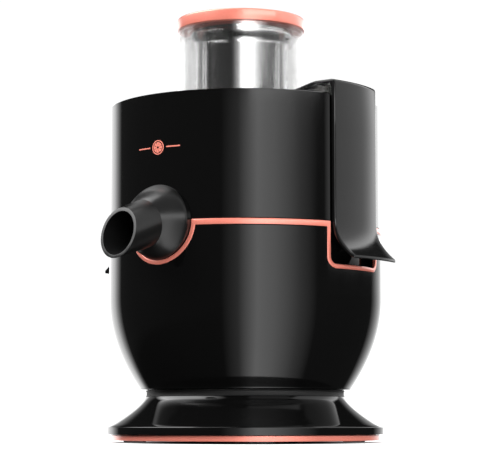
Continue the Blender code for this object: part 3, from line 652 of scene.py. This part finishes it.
def partingLine(s):
    # Stations once round: angle from the spout, height, and the way (sideways, up) to the
    # strip's upper edge.
    levelHalf, half = s["trimWidth"] / 2, s["dipWidth"] / 2
    r, level = s["r"], s["parting"]
    stations = []

    def straight(start, stop, count):
        for i in range(count):
            stations.append((start + (stop - start) * i / count, level, 0.0, levelHalf))

    def spoutDip():
        radius = s["domeR"] + s["gap"] + half
        stations.append((-math.asin(radius / r), level, half, levelHalf))
        for i in range(2, 47):
            angle = math.radians(180 + 3.75 * i)
            across, up = math.cos(angle), math.sin(angle)
            place = math.asin(radius * across / r)
            stations.append((place, s["spoutZ"] + radius * up, -across * half, -up * half))
        stations.append((math.asin(radius / r), level, -half, levelHalf))

    def latchDip(centre):
        width = r * math.sin(math.radians(s["notchHalf"])) + half
        bottom = s["notchBottom"] - half
        corner = s["notchCorner"] + half
        start, stop = centre - width / r, centre + width / r
        stations.append((start, level, half, levelHalf))
        for x, z in arc(corner, bottom + corner, corner, 180, 270, 8):
            inward, up = (corner - x) / corner, (bottom + corner - z) / corner
            stations.append((start + x / r, z, inward * half, up * half))
        for i in range(1, 12):
            place = start + corner / r + (stop - start - 2 * corner / r) * i / 12
            stations.append((place, bottom, 0.0, half))
        for x, z in arc(-corner, bottom + corner, corner, 270, 360, 8):
            inward, up = (-corner - x) / corner, (bottom + corner - z) / corner
            stations.append((stop + x / r, z, inward * half, up * half))
        stations.append((stop, level, -half, levelHalf))

    dip = math.asin((s["domeR"] + s["gap"] + half) / r)
    latchHalf = math.radians(s["notchHalf"]) + half / r
    quarter = math.pi / 2
    pad = 0.02
    spoutDip()
    straight(dip + pad, quarter - latchHalf - pad, 24)
    latchDip(quarter)
    straight(quarter + latchHalf + pad, 3 * quarter - latchHalf - pad, 64)
    latchDip(3 * quarter)
    straight(3 * quarter + latchHalf + pad, 4 * quarter - dip - pad, 24)
    return stations


def makeHousingTrim(s, finishes):
    # a grid of squares, wrapped along the parting line and given its thickness
    stations = partingLine(s)
    count = len(stations)
    bpy.ops.object.select_all(action="DESELECT")
    bpy.ops.mesh.primitive_grid_add(x_subdivisions=count, y_subdivisions=6, size=2)
    trim = bpy.context.object
    trim.name = "housing_trim_strip"
    for v in trim.data.vertices:
        angle, z, sideways, upward = stations[round((v.co.x + 1) / 2 * count) % count]
        share = v.co.y
        radius = s["r"] + s["trimProud"] - s["trimCrown"] * share ** 6
        turn = angle + sideways * share / s["r"]
        if abs(angle) < 0.4:                    # round the spout
            turn = math.asin((s["r"] * math.sin(angle) + sideways * share) / radius)
        v.co = (radius * math.sin(turn) * mm, axisY - radius * math.cos(turn) * mm,
                (z + upward * share) * mm)
    tidyMesh(trim)
    facesOutward(trim)
    applyModifier(trim, "SOLIDIFY", thickness=s["trimThick"] * mm, offset=-1.0)
    finishPiece(trim, "base", finishes["copper"], ["housing_trim"], 40)


def facesOutward(obj):
    # turns an open skin's faces away from the drum's axis
    total = sum((p.center - Vector((0, axisY, p.center.z))).dot(p.normal) for p in obj.data.polygons)
    if total < 0:
        startEdit(obj)
        bpy.ops.mesh.select_all(action="SELECT")
        bpy.ops.mesh.flip_normals()
        endEdit()


def notchCut(s, centre, floorR, half):
    # everything outside the notch's floor, between its two sides
    low, high, out = s["cutLow"], s["cutHigh"], s["cutTo"]
    return sector("notch_cut", [(floorR, low), (out, low), (out, high), (floorR, high)], centre, half, 16)


def makeUpperHousing(s, finishes):
    low = s["parting"] + s["trimWidth"] / 2 + s["gap"]
    r, wall, nest, rim, edge = s["r"], s["wall"], s["nestR"], s["rimZ"], s["rimEdge"]
    ledge, thin, notch, hole = s["rebateZ"], s["rebateWall"], s["notchR"], s["nestHoleR"]
    bottom = s["nestBottom"]
    floor = bottom + s["nestFloor"]
    outline = [(r - thin, rim), (r - edge, rim), (r, rim - edge), (r, low + s["edge"]), (r - s["edge"], low),
               (nest, low), (nest, bottom), (hole, bottom), (hole, floor), (nest - wall, floor),
               (nest - wall, low + wall), (r - wall, low + wall), (r - wall, ledge), (r - thin, ledge)]
    shell = turned("upper_housing_shell", outline, bigSteps)
    for side, centre in ((1, 0), (-1, 180)):
        carve(shell, notchCut(s, centre, notch, s["notchHalf"]))
        ends = sorted((side * s["lugFrom"], side * s["lugTo"]))
        lug = box("lug", (ends[0], -s["lugHalf"], s["lugBottom"]), (ends[1], s["lugHalf"], s["lugTop"]))
        roundEdges(lug, s["lugRound"], 3)
        carve(shell, lug, "UNION")
    pad = barrel("pad", s["domeR"] - 0.1, s["padFrom"], s["padTo"], smallSteps)
    carve(shell, layAlong(pad, toFront, (0, axisY, s["spoutZ"] * mm)), "UNION")
    carve(shell, wallTool(s, "duct_hole", s["ductR"], s["spoutZ"], toFront, 48))
    finishPiece(shell, "drum", finishes["glossBlack"], ["upper_housing"])

    # the recessed wall behind each latch, its sides hidden in the drum's wall
    side, step = r - 0.6, notch + 2.0
    panel = [(notch - wall, low - 1.0), (step, low - 1.0), (step, low + 0.3), (side, low + 0.3),
             (side, rim - 0.7), (notch - thin, rim - 0.05), (notch - thin, ledge), (notch - wall, ledge)]
    for centre, name in ((0, "right"), (180, "left")):
        pocket = sector(f"latch_pocket_{name}", panel, centre, s["pocketHalf"], 20)
        carve(pocket, notchCut(s, centre, notch, s["notchHalf"] - 0.03))
        finishPiece(pocket, "drum", finishes["glossBlack"])


emblem = {
    "z": 224.5, "angle": -0.4,      # degrees round from the spout, towards the right latch
    "sliceR": 5.6, "rind": 0.8, "pith": 0.7, "coreR": 0.9, "segments": 8,
    "webDegrees": 3.5,              # half the gap between two segments
    "lineLength": 12.4, "lineHeight": 1.0, "lineGap": 2.4,
    "thick": 0.25, "sink": 0.02,
}


def makeEmblem(s, finishes):
    # a plain citrus slice between two thin lines, laid round the drum
    r, rind, thick, core = s["sliceR"], s["rind"], s["thick"], s["coreR"]
    pulp = r - rind - s["pith"]
    parts = [turned("slice_rind", [(r - rind, 0), (r, 0), (r, thick), (r - rind, thick)], 48)]
    for i in range(s["segments"]):
        half = 180 / s["segments"] - s["webDegrees"]
        wedge = [(core, 0), (pulp, 0), (pulp, thick), (core, thick)]
        parts.append(sector("slice_wedge", wedge, 360 / s["segments"] * i, half, 5))
    for side in (-1, 1):
        start = side * (r + s["lineGap"])
        ends = sorted((start, start + side * s["lineLength"]))
        half = s["lineHeight"] / 2
        line = box("emblem_line", (ends[0], -half, 0), (ends[1], half, thick))
        startEdit(line)
        bpy.ops.mesh.select_all(action="SELECT")
        bpy.ops.mesh.subdivide(number_cuts=7)
        endEdit()
        parts.append(line)
    badge = joinAll(parts)
    badge.name = "drum_emblem"
    centre = math.radians(s["angle"])
    for v in badge.data.vertices:
        x, up, out = v.co.x, v.co.y - axisY, v.co.z
        radius = (drum["r"] - s["sink"]) * mm + out
        turn = centre + x / (drum["r"] * mm)
        v.co = (radius * math.sin(turn), axisY - radius * math.cos(turn), s["z"] * mm + up)
    tidyMesh(badge)
    finishPiece(badge, "drum", finishes["copper"])


spoutSet = {
    "depth": 26.0, "baseY": -109.4,
    # the dome's outline, in shares of its radius and depth
    "profile": ((0.0, 1.0), (0.1, 0.994), (0.2, 0.975), (0.3, 0.945), (0.4, 0.9), (0.48, 0.84),
                (0.56, 0.76), (0.63, 0.675), (0.7, 0.58), (0.77, 0.485), (0.83, 0.39), (0.885, 0.292),
                (0.93, 0.2), (0.963, 0.13), (0.985, 0.07), (0.995, 0.03), (1.0, 0.0)),
    "rootR": 18.6, "tipR": 16.3, "root": 8.0, "tip": 62.0,    # the tube along its own axis
    "slope": 18.0, "wall": 2.2, "edge": 0.7,
    "mouthY": -155.2, "mouthZ": 154.9, "mouthTilt": -13.0,
    "cutWide": 40.0, "cutLong": 60.0,
}


def domeSolid(s, thinner, below):
    radius, depth = drum["domeR"] - thinner, s["depth"] - thinner
    outline = [(radius * across, depth * up) for across, up in s["profile"]]
    foot = [(radius, -below), (0, -below)] if below else [(0, 0)]
    return turned("dome", outline + foot, smallSteps, closed=False)


def tubeSolid(s, thinner, stop):
    taper = (s["rootR"] - s["tipR"]) / (s["tip"] - s["root"])
    root = s["rootR"] - thinner
    end = root - taper * (stop - s["root"])
    return turned("tube", [(0, s["root"]), (root, s["root"]), (end, stop), (0, stop)], 72, closed=False)


def makeSpout(s, finishes):
    rise = math.radians(s["slope"])
    seat = (0, axisY + s["baseY"] * mm, drum["spoutZ"] * mm)
    startZ = s["mouthZ"] + (s["baseY"] - s["mouthY"]) * math.tan(rise)
    start = (0, axisY + s["baseY"] * mm, startZ * mm)
    along = Matrix.Rotation(rise, 4, "X") @ toFront
    spout = layAlong(domeSolid(s, 0, 0), toFront, seat)
    spout.name = "spout_body"
    carve(spout, layAlong(tubeSolid(s, 0, s["tip"]), along, start), "UNION")
    cut = box("cut", (-s["cutWide"], -s["cutLong"], -s["cutLong"]), (s["cutWide"], 0, s["cutLong"]))
    tilt = Matrix.Rotation(math.radians(s["mouthTilt"]), 4, "X")
    carve(spout, layAlong(cut, tilt, (0, axisY + s["mouthY"] * mm, s["mouthZ"] * mm)))
    roundEdges(spout, s["edge"], 3, 25)
    carve(spout, layAlong(domeSolid(s, s["wall"], 4), toFront, seat))
    carve(spout, layAlong(tubeSolid(s, s["wall"], s["tip"] + 8), along, start))
    finishPiece(spout, "spout_body", finishes["spoutBlack"], ["spout"])


lid = {
    "chimneyR": 50.6, "chimneyTop": 329.5, "tubeWall": 2.6, "tubeEdge": 0.5, "tubeBottom": 265.2,
    "cove": 3.4, "coveZ": 270.4,            # the hollow curve from the chimney to the plate
    "chuteR": 37.3, "chuteWall": 2.3, "chuteBottom": 197.0,
    "edgeStep": 2.1,            # how far the plate's edge is in from the drum's outside
    "edgeTop": 266.2, "edgeBottom": 263.8,
    "skirtR": 96.2, "skirtBottom": 257.6, "skirtWall": 2.8,
    "notchHalf": 17.8,
}


def makeLid(s, finishes):
    edge, skirt = drum["r"] - s["edgeStep"], s["skirtR"]
    inside = skirt - s["skirtWall"]
    plate = [(edge - 0.5, s["edgeTop"]), (edge, s["edgeTop"] - 0.5), (edge, s["edgeBottom"]),
             (skirt, s["edgeBottom"]), (skirt, s["skirtBottom"]), (inside, s["skirtBottom"]),
             (inside, 263.4), (46.0, 264.4), (46.0, 267.0), (62.0, 267.0)]
    cover = turned("lid_clear", plate, bigSteps)
    top, r, cove = s["chimneyTop"], s["chimneyR"], s["cove"]
    chute, outer, bore = s["chuteR"], s["chuteR"] + s["chuteWall"], r - s["tubeWall"]
    outline = [(r - s["tubeEdge"], top), (r, top - s["tubeEdge"]), (r, s["coveZ"] + 0.1)]
    outline += arc(r + cove, s["coveZ"], cove, 180, 262, 6)[1:]
    outline += [(r + 3.0, s["tubeBottom"]), (bore, s["tubeBottom"]), (bore, 324.6), (r - 3.6, 325.4),
                (44.8, 322.6), (outer, 316.0), (outer, s["chuteBottom"]), (chute, s["chuteBottom"]),
                (chute, 317.6), (chute + 1.5, 320.8), (42.2, 324.4), (43.6, 327.0), (44.0, top)]
    centreY = chimneyY / mm
    stack = turned("chimney", outline, midSteps, centreY=centreY)
    room = r - 1.0
    hole = turned("hole", [(0, 250), (room, 250), (room, 280), (0, 280)], midSteps, centreY=centreY,
                  closed=False)
    carve(cover, hole)
    carve(cover, stack, "UNION")
    for centre in (0, 180):
        carve(cover, notchCut(drum, centre, drum["notchR"] - s["edgeStep"], s["notchHalf"]))
    finishPiece(cover, "drum", finishes["clear"], ["lid"])


pusher = {
    "r": 36.5, "bottom": 200.0, "bottomRound": 3.0, "wall": 2.0,
    "flareR": 41.0,             # the sleeve's top, under the cap
    "capR": 51.7, "capBottom": 330.5, "capTop": 340.0, "capHighRound": 1.6, "capLowRound": 0.7,
}


def makePusher(s, finishes):
    r, flare, wall, curl = s["r"], s["flareR"], s["wall"], s["bottomRound"]
    low, high, cap = s["capBottom"], s["capTop"], s["capR"]
    centreY = chimneyY / mm
    body = [(0, s["bottom"])] + arc(r - curl, s["bottom"] + curl, curl, -90, 0, 5)
    body += [(r, 317.6), (r + 0.5, 319.4), (r + 1.9, 321.2), (flare - 0.9, 323.6), (flare - 0.2, 324.8),
             (flare, 326.0), (flare, 332.0), (flare - wall, 332.0), (flare - wall, 326.0), (r - 0.4, 321.6),
             (r - wall, 318.0), (r - wall, 202.4), (0, 202.4)]
    sleeve = turned("pusher_sleeve", body, midSteps, centreY=centreY, closed=False)
    finishPiece(sleeve, "pusher", finishes["polished"], ["pusher_body"])

    upper, lower = s["capHighRound"], s["capLowRound"]
    ring = arc(cap - upper, high - upper, upper, 90, 0, 6) + arc(cap - lower, low + lower, lower, 0, -90, 4)
    ring += [(flare + 0.3, low), (flare + 0.3, high - 1.2), (flare + 1.4, high - 0.2), (flare + 2.4, high)]
    band = turned("pusher_cap_ring", ring, bigSteps, centreY=centreY)
    finishPiece(band, "pusher", finishes["copper"], ["pusher_cap"])

    dish = [(0, 335.4), (18, 335.5), (29, 336.0), (34, 336.9), (37, 338.2), (39, 339.2),
            (flare - 0.6, 339.2), (flare, 338.6), (flare, 332.3), (0, 332.3)]
    top = turned("pusher_dish", dish, midSteps, centreY=centreY, closed=False)
    finishPiece(top, "pusher", finishes["glossBlack"], ["pusher_top"])


latch = {
    "halfWidth": 28.7, "r": 111.2, "innerR": 108.0, "top": 277.9, "edge": 0.7,
    "pivotX": 105.4, "pivotZ": 150.0, "pinR": 1.6, "slices": 28,
    "earR": 3.3, "earTop": 170.0, "earThick": 4.6, "ears": (9.4, -14.0),
}


def latchOutline(s):
    r, top, inner = s["r"], s["top"], s["innerR"]
    lip = [(127.2, 138.9), (127.9, 139.0), (128.3, 139.6), (128.2, 141.2), (125.4, 143.5), (122.6, 146.0),
           (119.9, 148.8), (117.4, 151.8), (115.5, 154.5), (113.9, 157.4), (112.8, 160.0), (112.0, 162.8),
           (111.5, 166.2)]
    plate = [(r, 170.0), (r, 200.0), (r, 240.0), (r, top - 3.0), (r - 0.5, top - 1.5), (r - 1.5, top - 0.5),
             (r - 3, top)]
    hook = [(94.0, top), (90.0, top - 0.8), (76.0, 273.6), (73.7, 272.4), (73.1, 270.8), (73.0, 267.8),
            (75.4, 267.8), (76.2, 270.9), (90.2, 275.0), (94.6, 275.6), (97.4, 275.0)]
    back = [(inner - 1.0, 274.4), (inner, 273.2), (inner, 240.0), (inner, 200.0), (inner, 169.4),
            (108.4, 165.3), (109.0, 161.6), (110.1, 158.5), (111.5, 155.6), (113.3, 152.5), (115.4, 149.6),
            (118.0, 146.5), (120.8, 143.6)]
    return lip + plate + hook + back


def makeLatch(s, side, finishes):
    name = "right" if side > 0 else "left"
    half = s["halfWidth"]
    body = slab(f"latch_{name}_plate", latchOutline(s), 2 * half, -half, s["slices"])
    roundEdges(body, s["edge"], 3, 50)
    for v in body.data.vertices:                       # bend the flat plate round the drum
        y = v.co.y - axisY
        v.co.x = math.sqrt(v.co.x ** 2 - y * y)
    pivotX, pivotZ = s["pivotX"], s["pivotZ"]
    arm = arc(pivotX, pivotZ, s["earR"], 180, 360, 12)
    arm += [(pivotX + 4.2, s["earTop"]), (pivotX - 1.6, s["earTop"])]
    for low in s["ears"]:
        carve(body, slab("ear", arm, s["earThick"], low), "UNION")
    hole = barrel("hole", s["pinR"] + drum["gap"], -20, 20, 24)
    carve(body, layAlong(hole, toBack, (pivotX * mm, axisY, pivotZ * mm)))
    if side < 0:
        hub = Matrix.Translation((0, axisY, 0))
        body.data.transform(hub @ Matrix.Rotation(math.pi, 4, "Z") @ hub.inverted())
    finishPiece(body, f"latch_{name}_body", finishes["latchBlack"], [f"latch_{name}"], 30)


knob = {
    "profile": [(0, 110.5), (15.2, 110.5), (15.8, 111.0), (16.0, 111.9), (15.0, 116.4), (14.4, 117.4),
                (13.2, 118.0), (8, 119.4), (0, 119.8)],
    "tip": 122.0, "gripFrom": 114.0, "gripHalf": 3.0, "gripReach": 13.4, "gripRound": 1.2,
    "boreR": 3.4, "boreStop": 119.0,
    "lineHalf": 0.5, "lineFrom": 2.0, "lineTo": 12.6,          # the pointer, above the knob's middle
}


def makeKnob(s, finishes):
    middle, tip = drum["knobZ"], s["tip"]
    place = (0, axisY, middle * mm)
    cap = layAlong(turned("selector_knob_cap", s["profile"], smallSteps, closed=False), toBack, place)
    half, reach = s["gripHalf"], s["gripReach"]
    grip = box("grip", (-half, s["gripFrom"], middle - reach), (half, tip, middle + reach))
    roundEdges(grip, s["gripRound"], 3)
    carve(cap, grip, "UNION")
    carve(cap, layAlong(barrel("bore", s["boreR"], 100, s["boreStop"], 32), toBack, place))
    finishPiece(cap, "knob", finishes["glossBlack"], ["selector_knob"])
    thin = s["lineHalf"]
    line = box("knob_pointer", (-thin, tip - 1.0, middle + s["lineFrom"]),
               (thin, tip - 0.0001, middle + s["lineTo"]))
    finishPiece(line, "knob", finishes["copper"])


foot = {"r": 9.0, "height": 1.5, "edge": 0.8, "hollow": 0.15, "hollowR": 6.0, "studR": 3.0, "studTop": 7.0}


def makeFeet(s, finishes):
    edge, hollow, stud = s["edge"], s["hollow"], s["studR"]
    outline = [(0, hollow), (s["hollowR"], hollow), (s["hollowR"] + 0.4, 0)]
    outline += arc(s["r"] - edge, edge, edge, -90, 0, 4)
    outline += [(s["r"], s["height"]), (stud, s["height"]), (stud, s["studTop"]), (0, s["studTop"])]
    for number in range(1, 5):
        low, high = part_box(f"foot_{number}")
        rubber = turned(f"rubber_foot_{number}", outline, 48, closed=False)
        rubber.data.transform(Matrix.Translation(((low.x + high.x) / 2, (low.y + high.y) / 2 - axisY, 0)))
        finishPiece(rubber, "base", finishes["rubber"], [f"foot_{number}"])


grater = {
    "r": 44.0, "holeR": 14.3, "bottom": 182.9, "top": 184.6,
    "rings": (20, 26, 32, 38), "perRing": 0.9,          # teeth for each millimetre of a ring's radius
    "toothR": 1.5, "toothHeight": 1.5, "toothLean": 0.4, "toothSink": 0.05,
}


def makeGrater(s, finishes):
    r, top, bottom = s["r"], s["top"], s["bottom"]
    disc = turned("grater_plate", [(r - 0.3, top), (r, top - 0.4), (r, bottom), (s["holeR"], bottom),
                                   (s["holeR"], top)], smallSteps)
    bpy.ops.object.select_all(action="DESELECT")
    bpy.ops.mesh.primitive_cone_add(vertices=4, radius1=s["toothR"] * mm, depth=s["toothHeight"] * mm,
                                    end_fill_type="NGON")
    tooth = bpy.context.object
    teeth = []
    lean = Matrix.Shear("XZ", 4, (s["toothLean"], 0))
    height = (top + s["toothHeight"] / 2 - s["toothSink"]) * mm
    for ring in s["rings"]:
        count = int(ring * s["perRing"])
        for i in range(count):
            angle = 2 * math.pi * i / count + ring
            copy = tooth.copy()
            copy.data = tooth.data.copy()
            bpy.context.collection.objects.link(copy)
            place = (ring * mm * math.cos(angle), axisY + ring * mm * math.sin(angle), height)
            copy.data.transform(Matrix.Translation(place) @ Matrix.Rotation(angle, 4, "Z") @ lean)
            teeth.append(copy)
    bpy.data.objects.remove(tooth)
    plate = joinAll([disc] + teeth)
    finishPiece(plate, "basket", finishes["brushed"], ["grater_disc"])


# the soft shadow painted on the floor round the base, in metres
stage = {"shadowWide": 0.122, "shadowDeep": 0.165, "shadowAhead": 0.035, "shadowEdges": (0.5, 1.15)}


def makeStage(s):
    bpy.ops.object.select_all(action="DESELECT")
    bpy.ops.mesh.primitive_plane_add(size=12, location=(0, 0, 0))
    floor = bpy.context.object
    floor.name = "floor"
    f = Finish("paleFloor")
    where = f.place((1, 1, 1), (0, axisY, 0))
    # a painted shadow: the floor's colour and glow go dark in an oval round the base
    across = f.along(where, towardRight) / s["shadowWide"]
    ahead = (f.along(where, towardViewer) - s["shadowAhead"]) / s["shadowDeep"]
    outsidePaintedShadow = f.soft((across ** 2.0 + ahead ** 2.0).math("SQRT"), *s["shadowEdges"])
    f.put(Base_Color=f.mix(outsidePaintedShadow, grey(0.0), grey(0.85)), Roughness=0.6, Specular_IOR_Level=0.0)
    glow = f.add("ShaderNodeEmission", None, {"Color": f.mix(outsidePaintedShadow, grey(0.0), grey(1.0)), "Strength": 0.42})
    both = f.add("ShaderNodeAddShader")
    f.tree.links.new(f.shader.outputs[0], both.inputs[0])
    f.tree.links.new(glow.outputs[0], both.inputs[1])
    seen = f.wire("ShaderNodeLightPath", output="Is Camera Ray")
    gone = f.add("ShaderNodeBsdfTransparent")
    pick = f.add("ShaderNodeMixShader", None, {0: seen})
    f.tree.links.new(gone.outputs[0], pick.inputs[1])
    f.tree.links.new(both.outputs[0], pick.inputs[2])
    f.tree.links.new(pick.outputs[0], f.tree.nodes["Material Output"].inputs[0])
    floor.data.materials.append(f.material)


studio = {
    # a soft box in front, seen in the drum as an upright strip: (degrees right of the camera, level)
    "round": ((-180, 0.0), (-20, 0.02), (-6, 0.45), (0, 1.25), (10, 2.5), (24, 1.95), (46, 0.62), (62, 0.04),
              (180, 0.0)),
    "roundStarts": (-89.0, -80.0), "roundEnds": (16.0, 26.0),      # degrees above level
    # pale walls behind, seen along the juicer's outline
    "behind": ((-180, 2.2), (-143, 2.0), (-128, 0.04), (131, 0.0), (145, 0.8), (180, 2.2)),
    "behindStarts": (-26.0, -14.0), "behindEnds": (10.0, 18.0),
    # a raised panel on the right, seen in the latch
    "right": ((-180, 0.0), (69, 0.0), (75, 0.95), (113, 1.0), (120, 1.25), (131, 1.9), (138, 2.1), (143, 0.0),
              (180, 0.0)),
    "rightStarts": (4.4, 5.4),
    "rightBack": ((-180, 0.0), (136, 0.0), (142, 2.4), (180, 3.0)),
    # a higher tier, seen in the steel of the pusher
    "upper": ((-180, 0.55), (-88, 0.30), (-82, 0.02), (1, 0.02), (5, 4.0), (62, 4.0), (67, 0.45),
              (180, 0.6)),
    "upperStarts": (10.0, 10.6),
    # a soft box high on the left, seen in the spout
    "corner": ((-180, 0.0), (-134, 0.0), (-122, 5.5), (-70, 5.5), (-30, 0.0), (180, 0.0)),
    "cornerStarts": (14.0, 32.0),
    # a panel on the ceiling, seen in the foot; the edges are lines of (sideways, slope) in heights above
    "ceilingLeft": (-0.028, 0.149), "ceilingRight": (0.669, 0.45), "ceilingSoft": 0.02,
    "ceilingNear": 0.25, "ceilingFar": 2.5, "ceilingFade": (0.2, 0.9),
    "ambient": 0.01,
    "backdrop": 1.05,
}


def makeWorld(s):
    # Light boxes drawn straight into the surroundings; what looks past the juicer is white.
    world = bpy.data.worlds.new("studio")
    bpy.context.scene.world = world
    world.use_nodes = True
    w = Paint(world.node_tree)
    w.tree.nodes.clear()
    way = w.wire("ShaderNodeTexCoord", output="Generated")
    front, right = w.along(way, towardViewer), w.along(way, towardRight)
    height = w.wire("ShaderNodeSeparateXYZ", None, {0: way}, 2)
    # by the side of a round body that it shows in
    around = right.math("ARCTAN2", front + 1.0) * (1 / math.pi) + 0.5
    bearing = right.math("ARCTAN2", front) * (0.5 / math.pi) + 0.5
    rise = height.math("ARCSINE") * (180 / math.pi)

    def tier(name, place=around):
        peak = max(level for degrees, level in s[name])
        stops = [((degrees + 180) / 360, grey(level / peak)) for degrees, level in s[name]]
        return w.wire("ShaderNodeValToRGB", {"stops": stops}, {0: place}) * peak

    def above(name):
        return w.soft(rise, *s[name + "Starts"])

    upperShare = above("upper")
    notHigh = 1 - w.soft(rise, *s["roundEnds"])
    lowWall = above("behind") * (1 - w.soft(rise, *s["behindEnds"]))
    light = tier("round") * above("round") * (1 - upperShare) + tier("upper") * upperShare
    light = (light * notHigh).math("MAXIMUM", tier("behind") * lowWall)
    light = light.math("MAXIMUM", tier("right", bearing) * above("right"))
    light = light.math("MAXIMUM", tier("rightBack", bearing) * above("right") * lowWall)
    light = light.math("MAXIMUM", tier("corner", bearing) * above("corner"))
    up = height.math("MAXIMUM", 0.02)
    aside, ahead, blur = right / up, front / up, s["ceilingSoft"]
    leftEdge = aside - (ahead * s["ceilingLeft"][1] + s["ceilingLeft"][0])
    rightEdge = (ahead * s["ceilingRight"][1] + s["ceilingRight"][0]) - aside
    ceiling = w.soft(leftEdge, -blur, blur) * w.soft(rightEdge, -blur, blur) * w.soft(height, 0.2, 0.3)
    level = w.soft(0 - ahead, *s["ceilingFade"], s["ceilingNear"], s["ceilingFar"])
    light = light.math("MAXIMUM", ceiling * level)
    reflected = w.add("ShaderNodeBackground", None, {"Color": grey(1.0), "Strength": light + s["ambient"]})
    backdrop = w.add("ShaderNodeBackground", None, {"Color": grey(1.0), "Strength": s["backdrop"]})
    path = w.add("ShaderNodeLightPath")
    direct = Wire(w, path.outputs["Glossy Depth"]).math("LESS_THAN", 0.5)       # not mirrored on the way
    through = Wire(w, path.outputs["Is Transmission Ray"]) * direct
    seen = Wire(w, path.outputs["Is Camera Ray"]).math("MAXIMUM", through)
    pick = w.add("ShaderNodeMixShader", None, {0: seen})
    w.tree.links.new(reflected.outputs[0], pick.inputs[1])
    w.tree.links.new(backdrop.outputs[0], pick.inputs[2])
    out = w.add("ShaderNodeOutputWorld")
    w.tree.links.new(pick.outputs[0], out.inputs[0])


def makeLamp(name, azimuth, elevation, distance, size, power):
    # A soft box aimed at the middle of the juicer, azimuth counted from the camera's side.
    turn = facing + math.radians(azimuth)
    rise = math.radians(elevation)
    aim = Vector((0, axisY, (cadBox[0][2] + cadBox[1][2]) / 2))
    way = Vector((math.sin(turn) * math.cos(rise), -math.cos(turn) * math.cos(rise), math.sin(rise)))
    data = bpy.data.lights.new(name, "AREA")
    data.shape = "RECTANGLE"
    data.size, data.size_y = size
    data.energy = power
    lamp = bpy.data.objects.new(name, data)
    bpy.context.scene.collection.objects.link(lamp)
    lamp.location = aim + way * distance
    lamp.rotation_euler = way.to_track_quat("Z", "Y").to_euler()
    lamp.visible_camera = False
    lamp.visible_glossy = False


def makeLights(s):
    makeWorld(s)
    makeLamp("front_box", 10, 25, 2.2, (1.6, 1.6), 34)
    makeLamp("left_box", -70, 30, 2.2, (1.4, 1.4), 22)
    makeLamp("right_box", 85, 25, 2.2, (1.4, 1.4), 22)
    makeLamp("top_box", 0, 88, 2.2, (2.4, 2.4), 30)
    makeLamp("back_box", 180, 35, 2.4, (1.8, 1.8), 26)
    bpy.context.scene.view_settings.view_transform = "Standard"
    print("lights placed")


def paintNodes(finishes):
    bySlot = {
        "gloss_black": "glossBlack", "matte_black": "matteBlack", "copper_trim": "copper", "steel": "brushed",
        "iron": "iron", "winding": "winding", "clear": "clear", "rubber": "rubber", "carbon": "carbon",
        "board_green": "board", "white_plastic": "whitePlastic", "smoke": "smoke",
    }
    for part in frame["record"]["subparts"]:
        node = frame["nodes"][part["node"]]
        material = finishes[bySlot[part["material_slot"]]]
        if part["node"] == "strainer_basket":
            material = finishes["strainer"]
        node.data.materials.clear()
        node.data.materials.append(material)
    print("frame painted")


def makeFinishes():
    return {
        "glossBlack": makeGlossBlack(),
        "spoutBlack": makeGlossBlack("spoutBlack", 0.0050, 0.27),
        "latchBlack": makeGlossBlack("latchBlack", 0.0048, 0.09),
        "matteBlack": makeMatteBlack(),
        "copper": makeCopper(),
        "polished": makeSteel("polishedSteel", 0.93, 0.03, (1, 1, 0.1)),
        "brushed": makeSteel("brushedSteel", 0.60, 0.22, (1, 1, 12)),
        "iron": makeIron(),
        "winding": makeWinding(),
        "clear": makeClear(),
        "rubber": makeRubber(),
        "carbon": makeCarbon(),
        "board": makeBoard(),
        "whitePlastic": makeWhitePlastic(),
        "smoke": makeSmoke(),
        "strainer": makeStrainer(),
    }


makeCamera(cameraSet)
finishes = makeFinishes()
paintNodes(finishes)
makeBase(base, finishes)
makeMotorHousing(drum, finishes)
makeHousingTrim(drum, finishes)
makeUpperHousing(drum, finishes)
makeEmblem(emblem, finishes)
makeSpout(spoutSet, finishes)
makeLid(lid, finishes)
makePusher(pusher, finishes)
for side in (1, -1):
    makeLatch(latch, side, finishes)
makeKnob(knob, finishes)
makeFeet(foot, finishes)
makeGrater(grater, finishes)
makeStage(stage)
makeLights(studio)
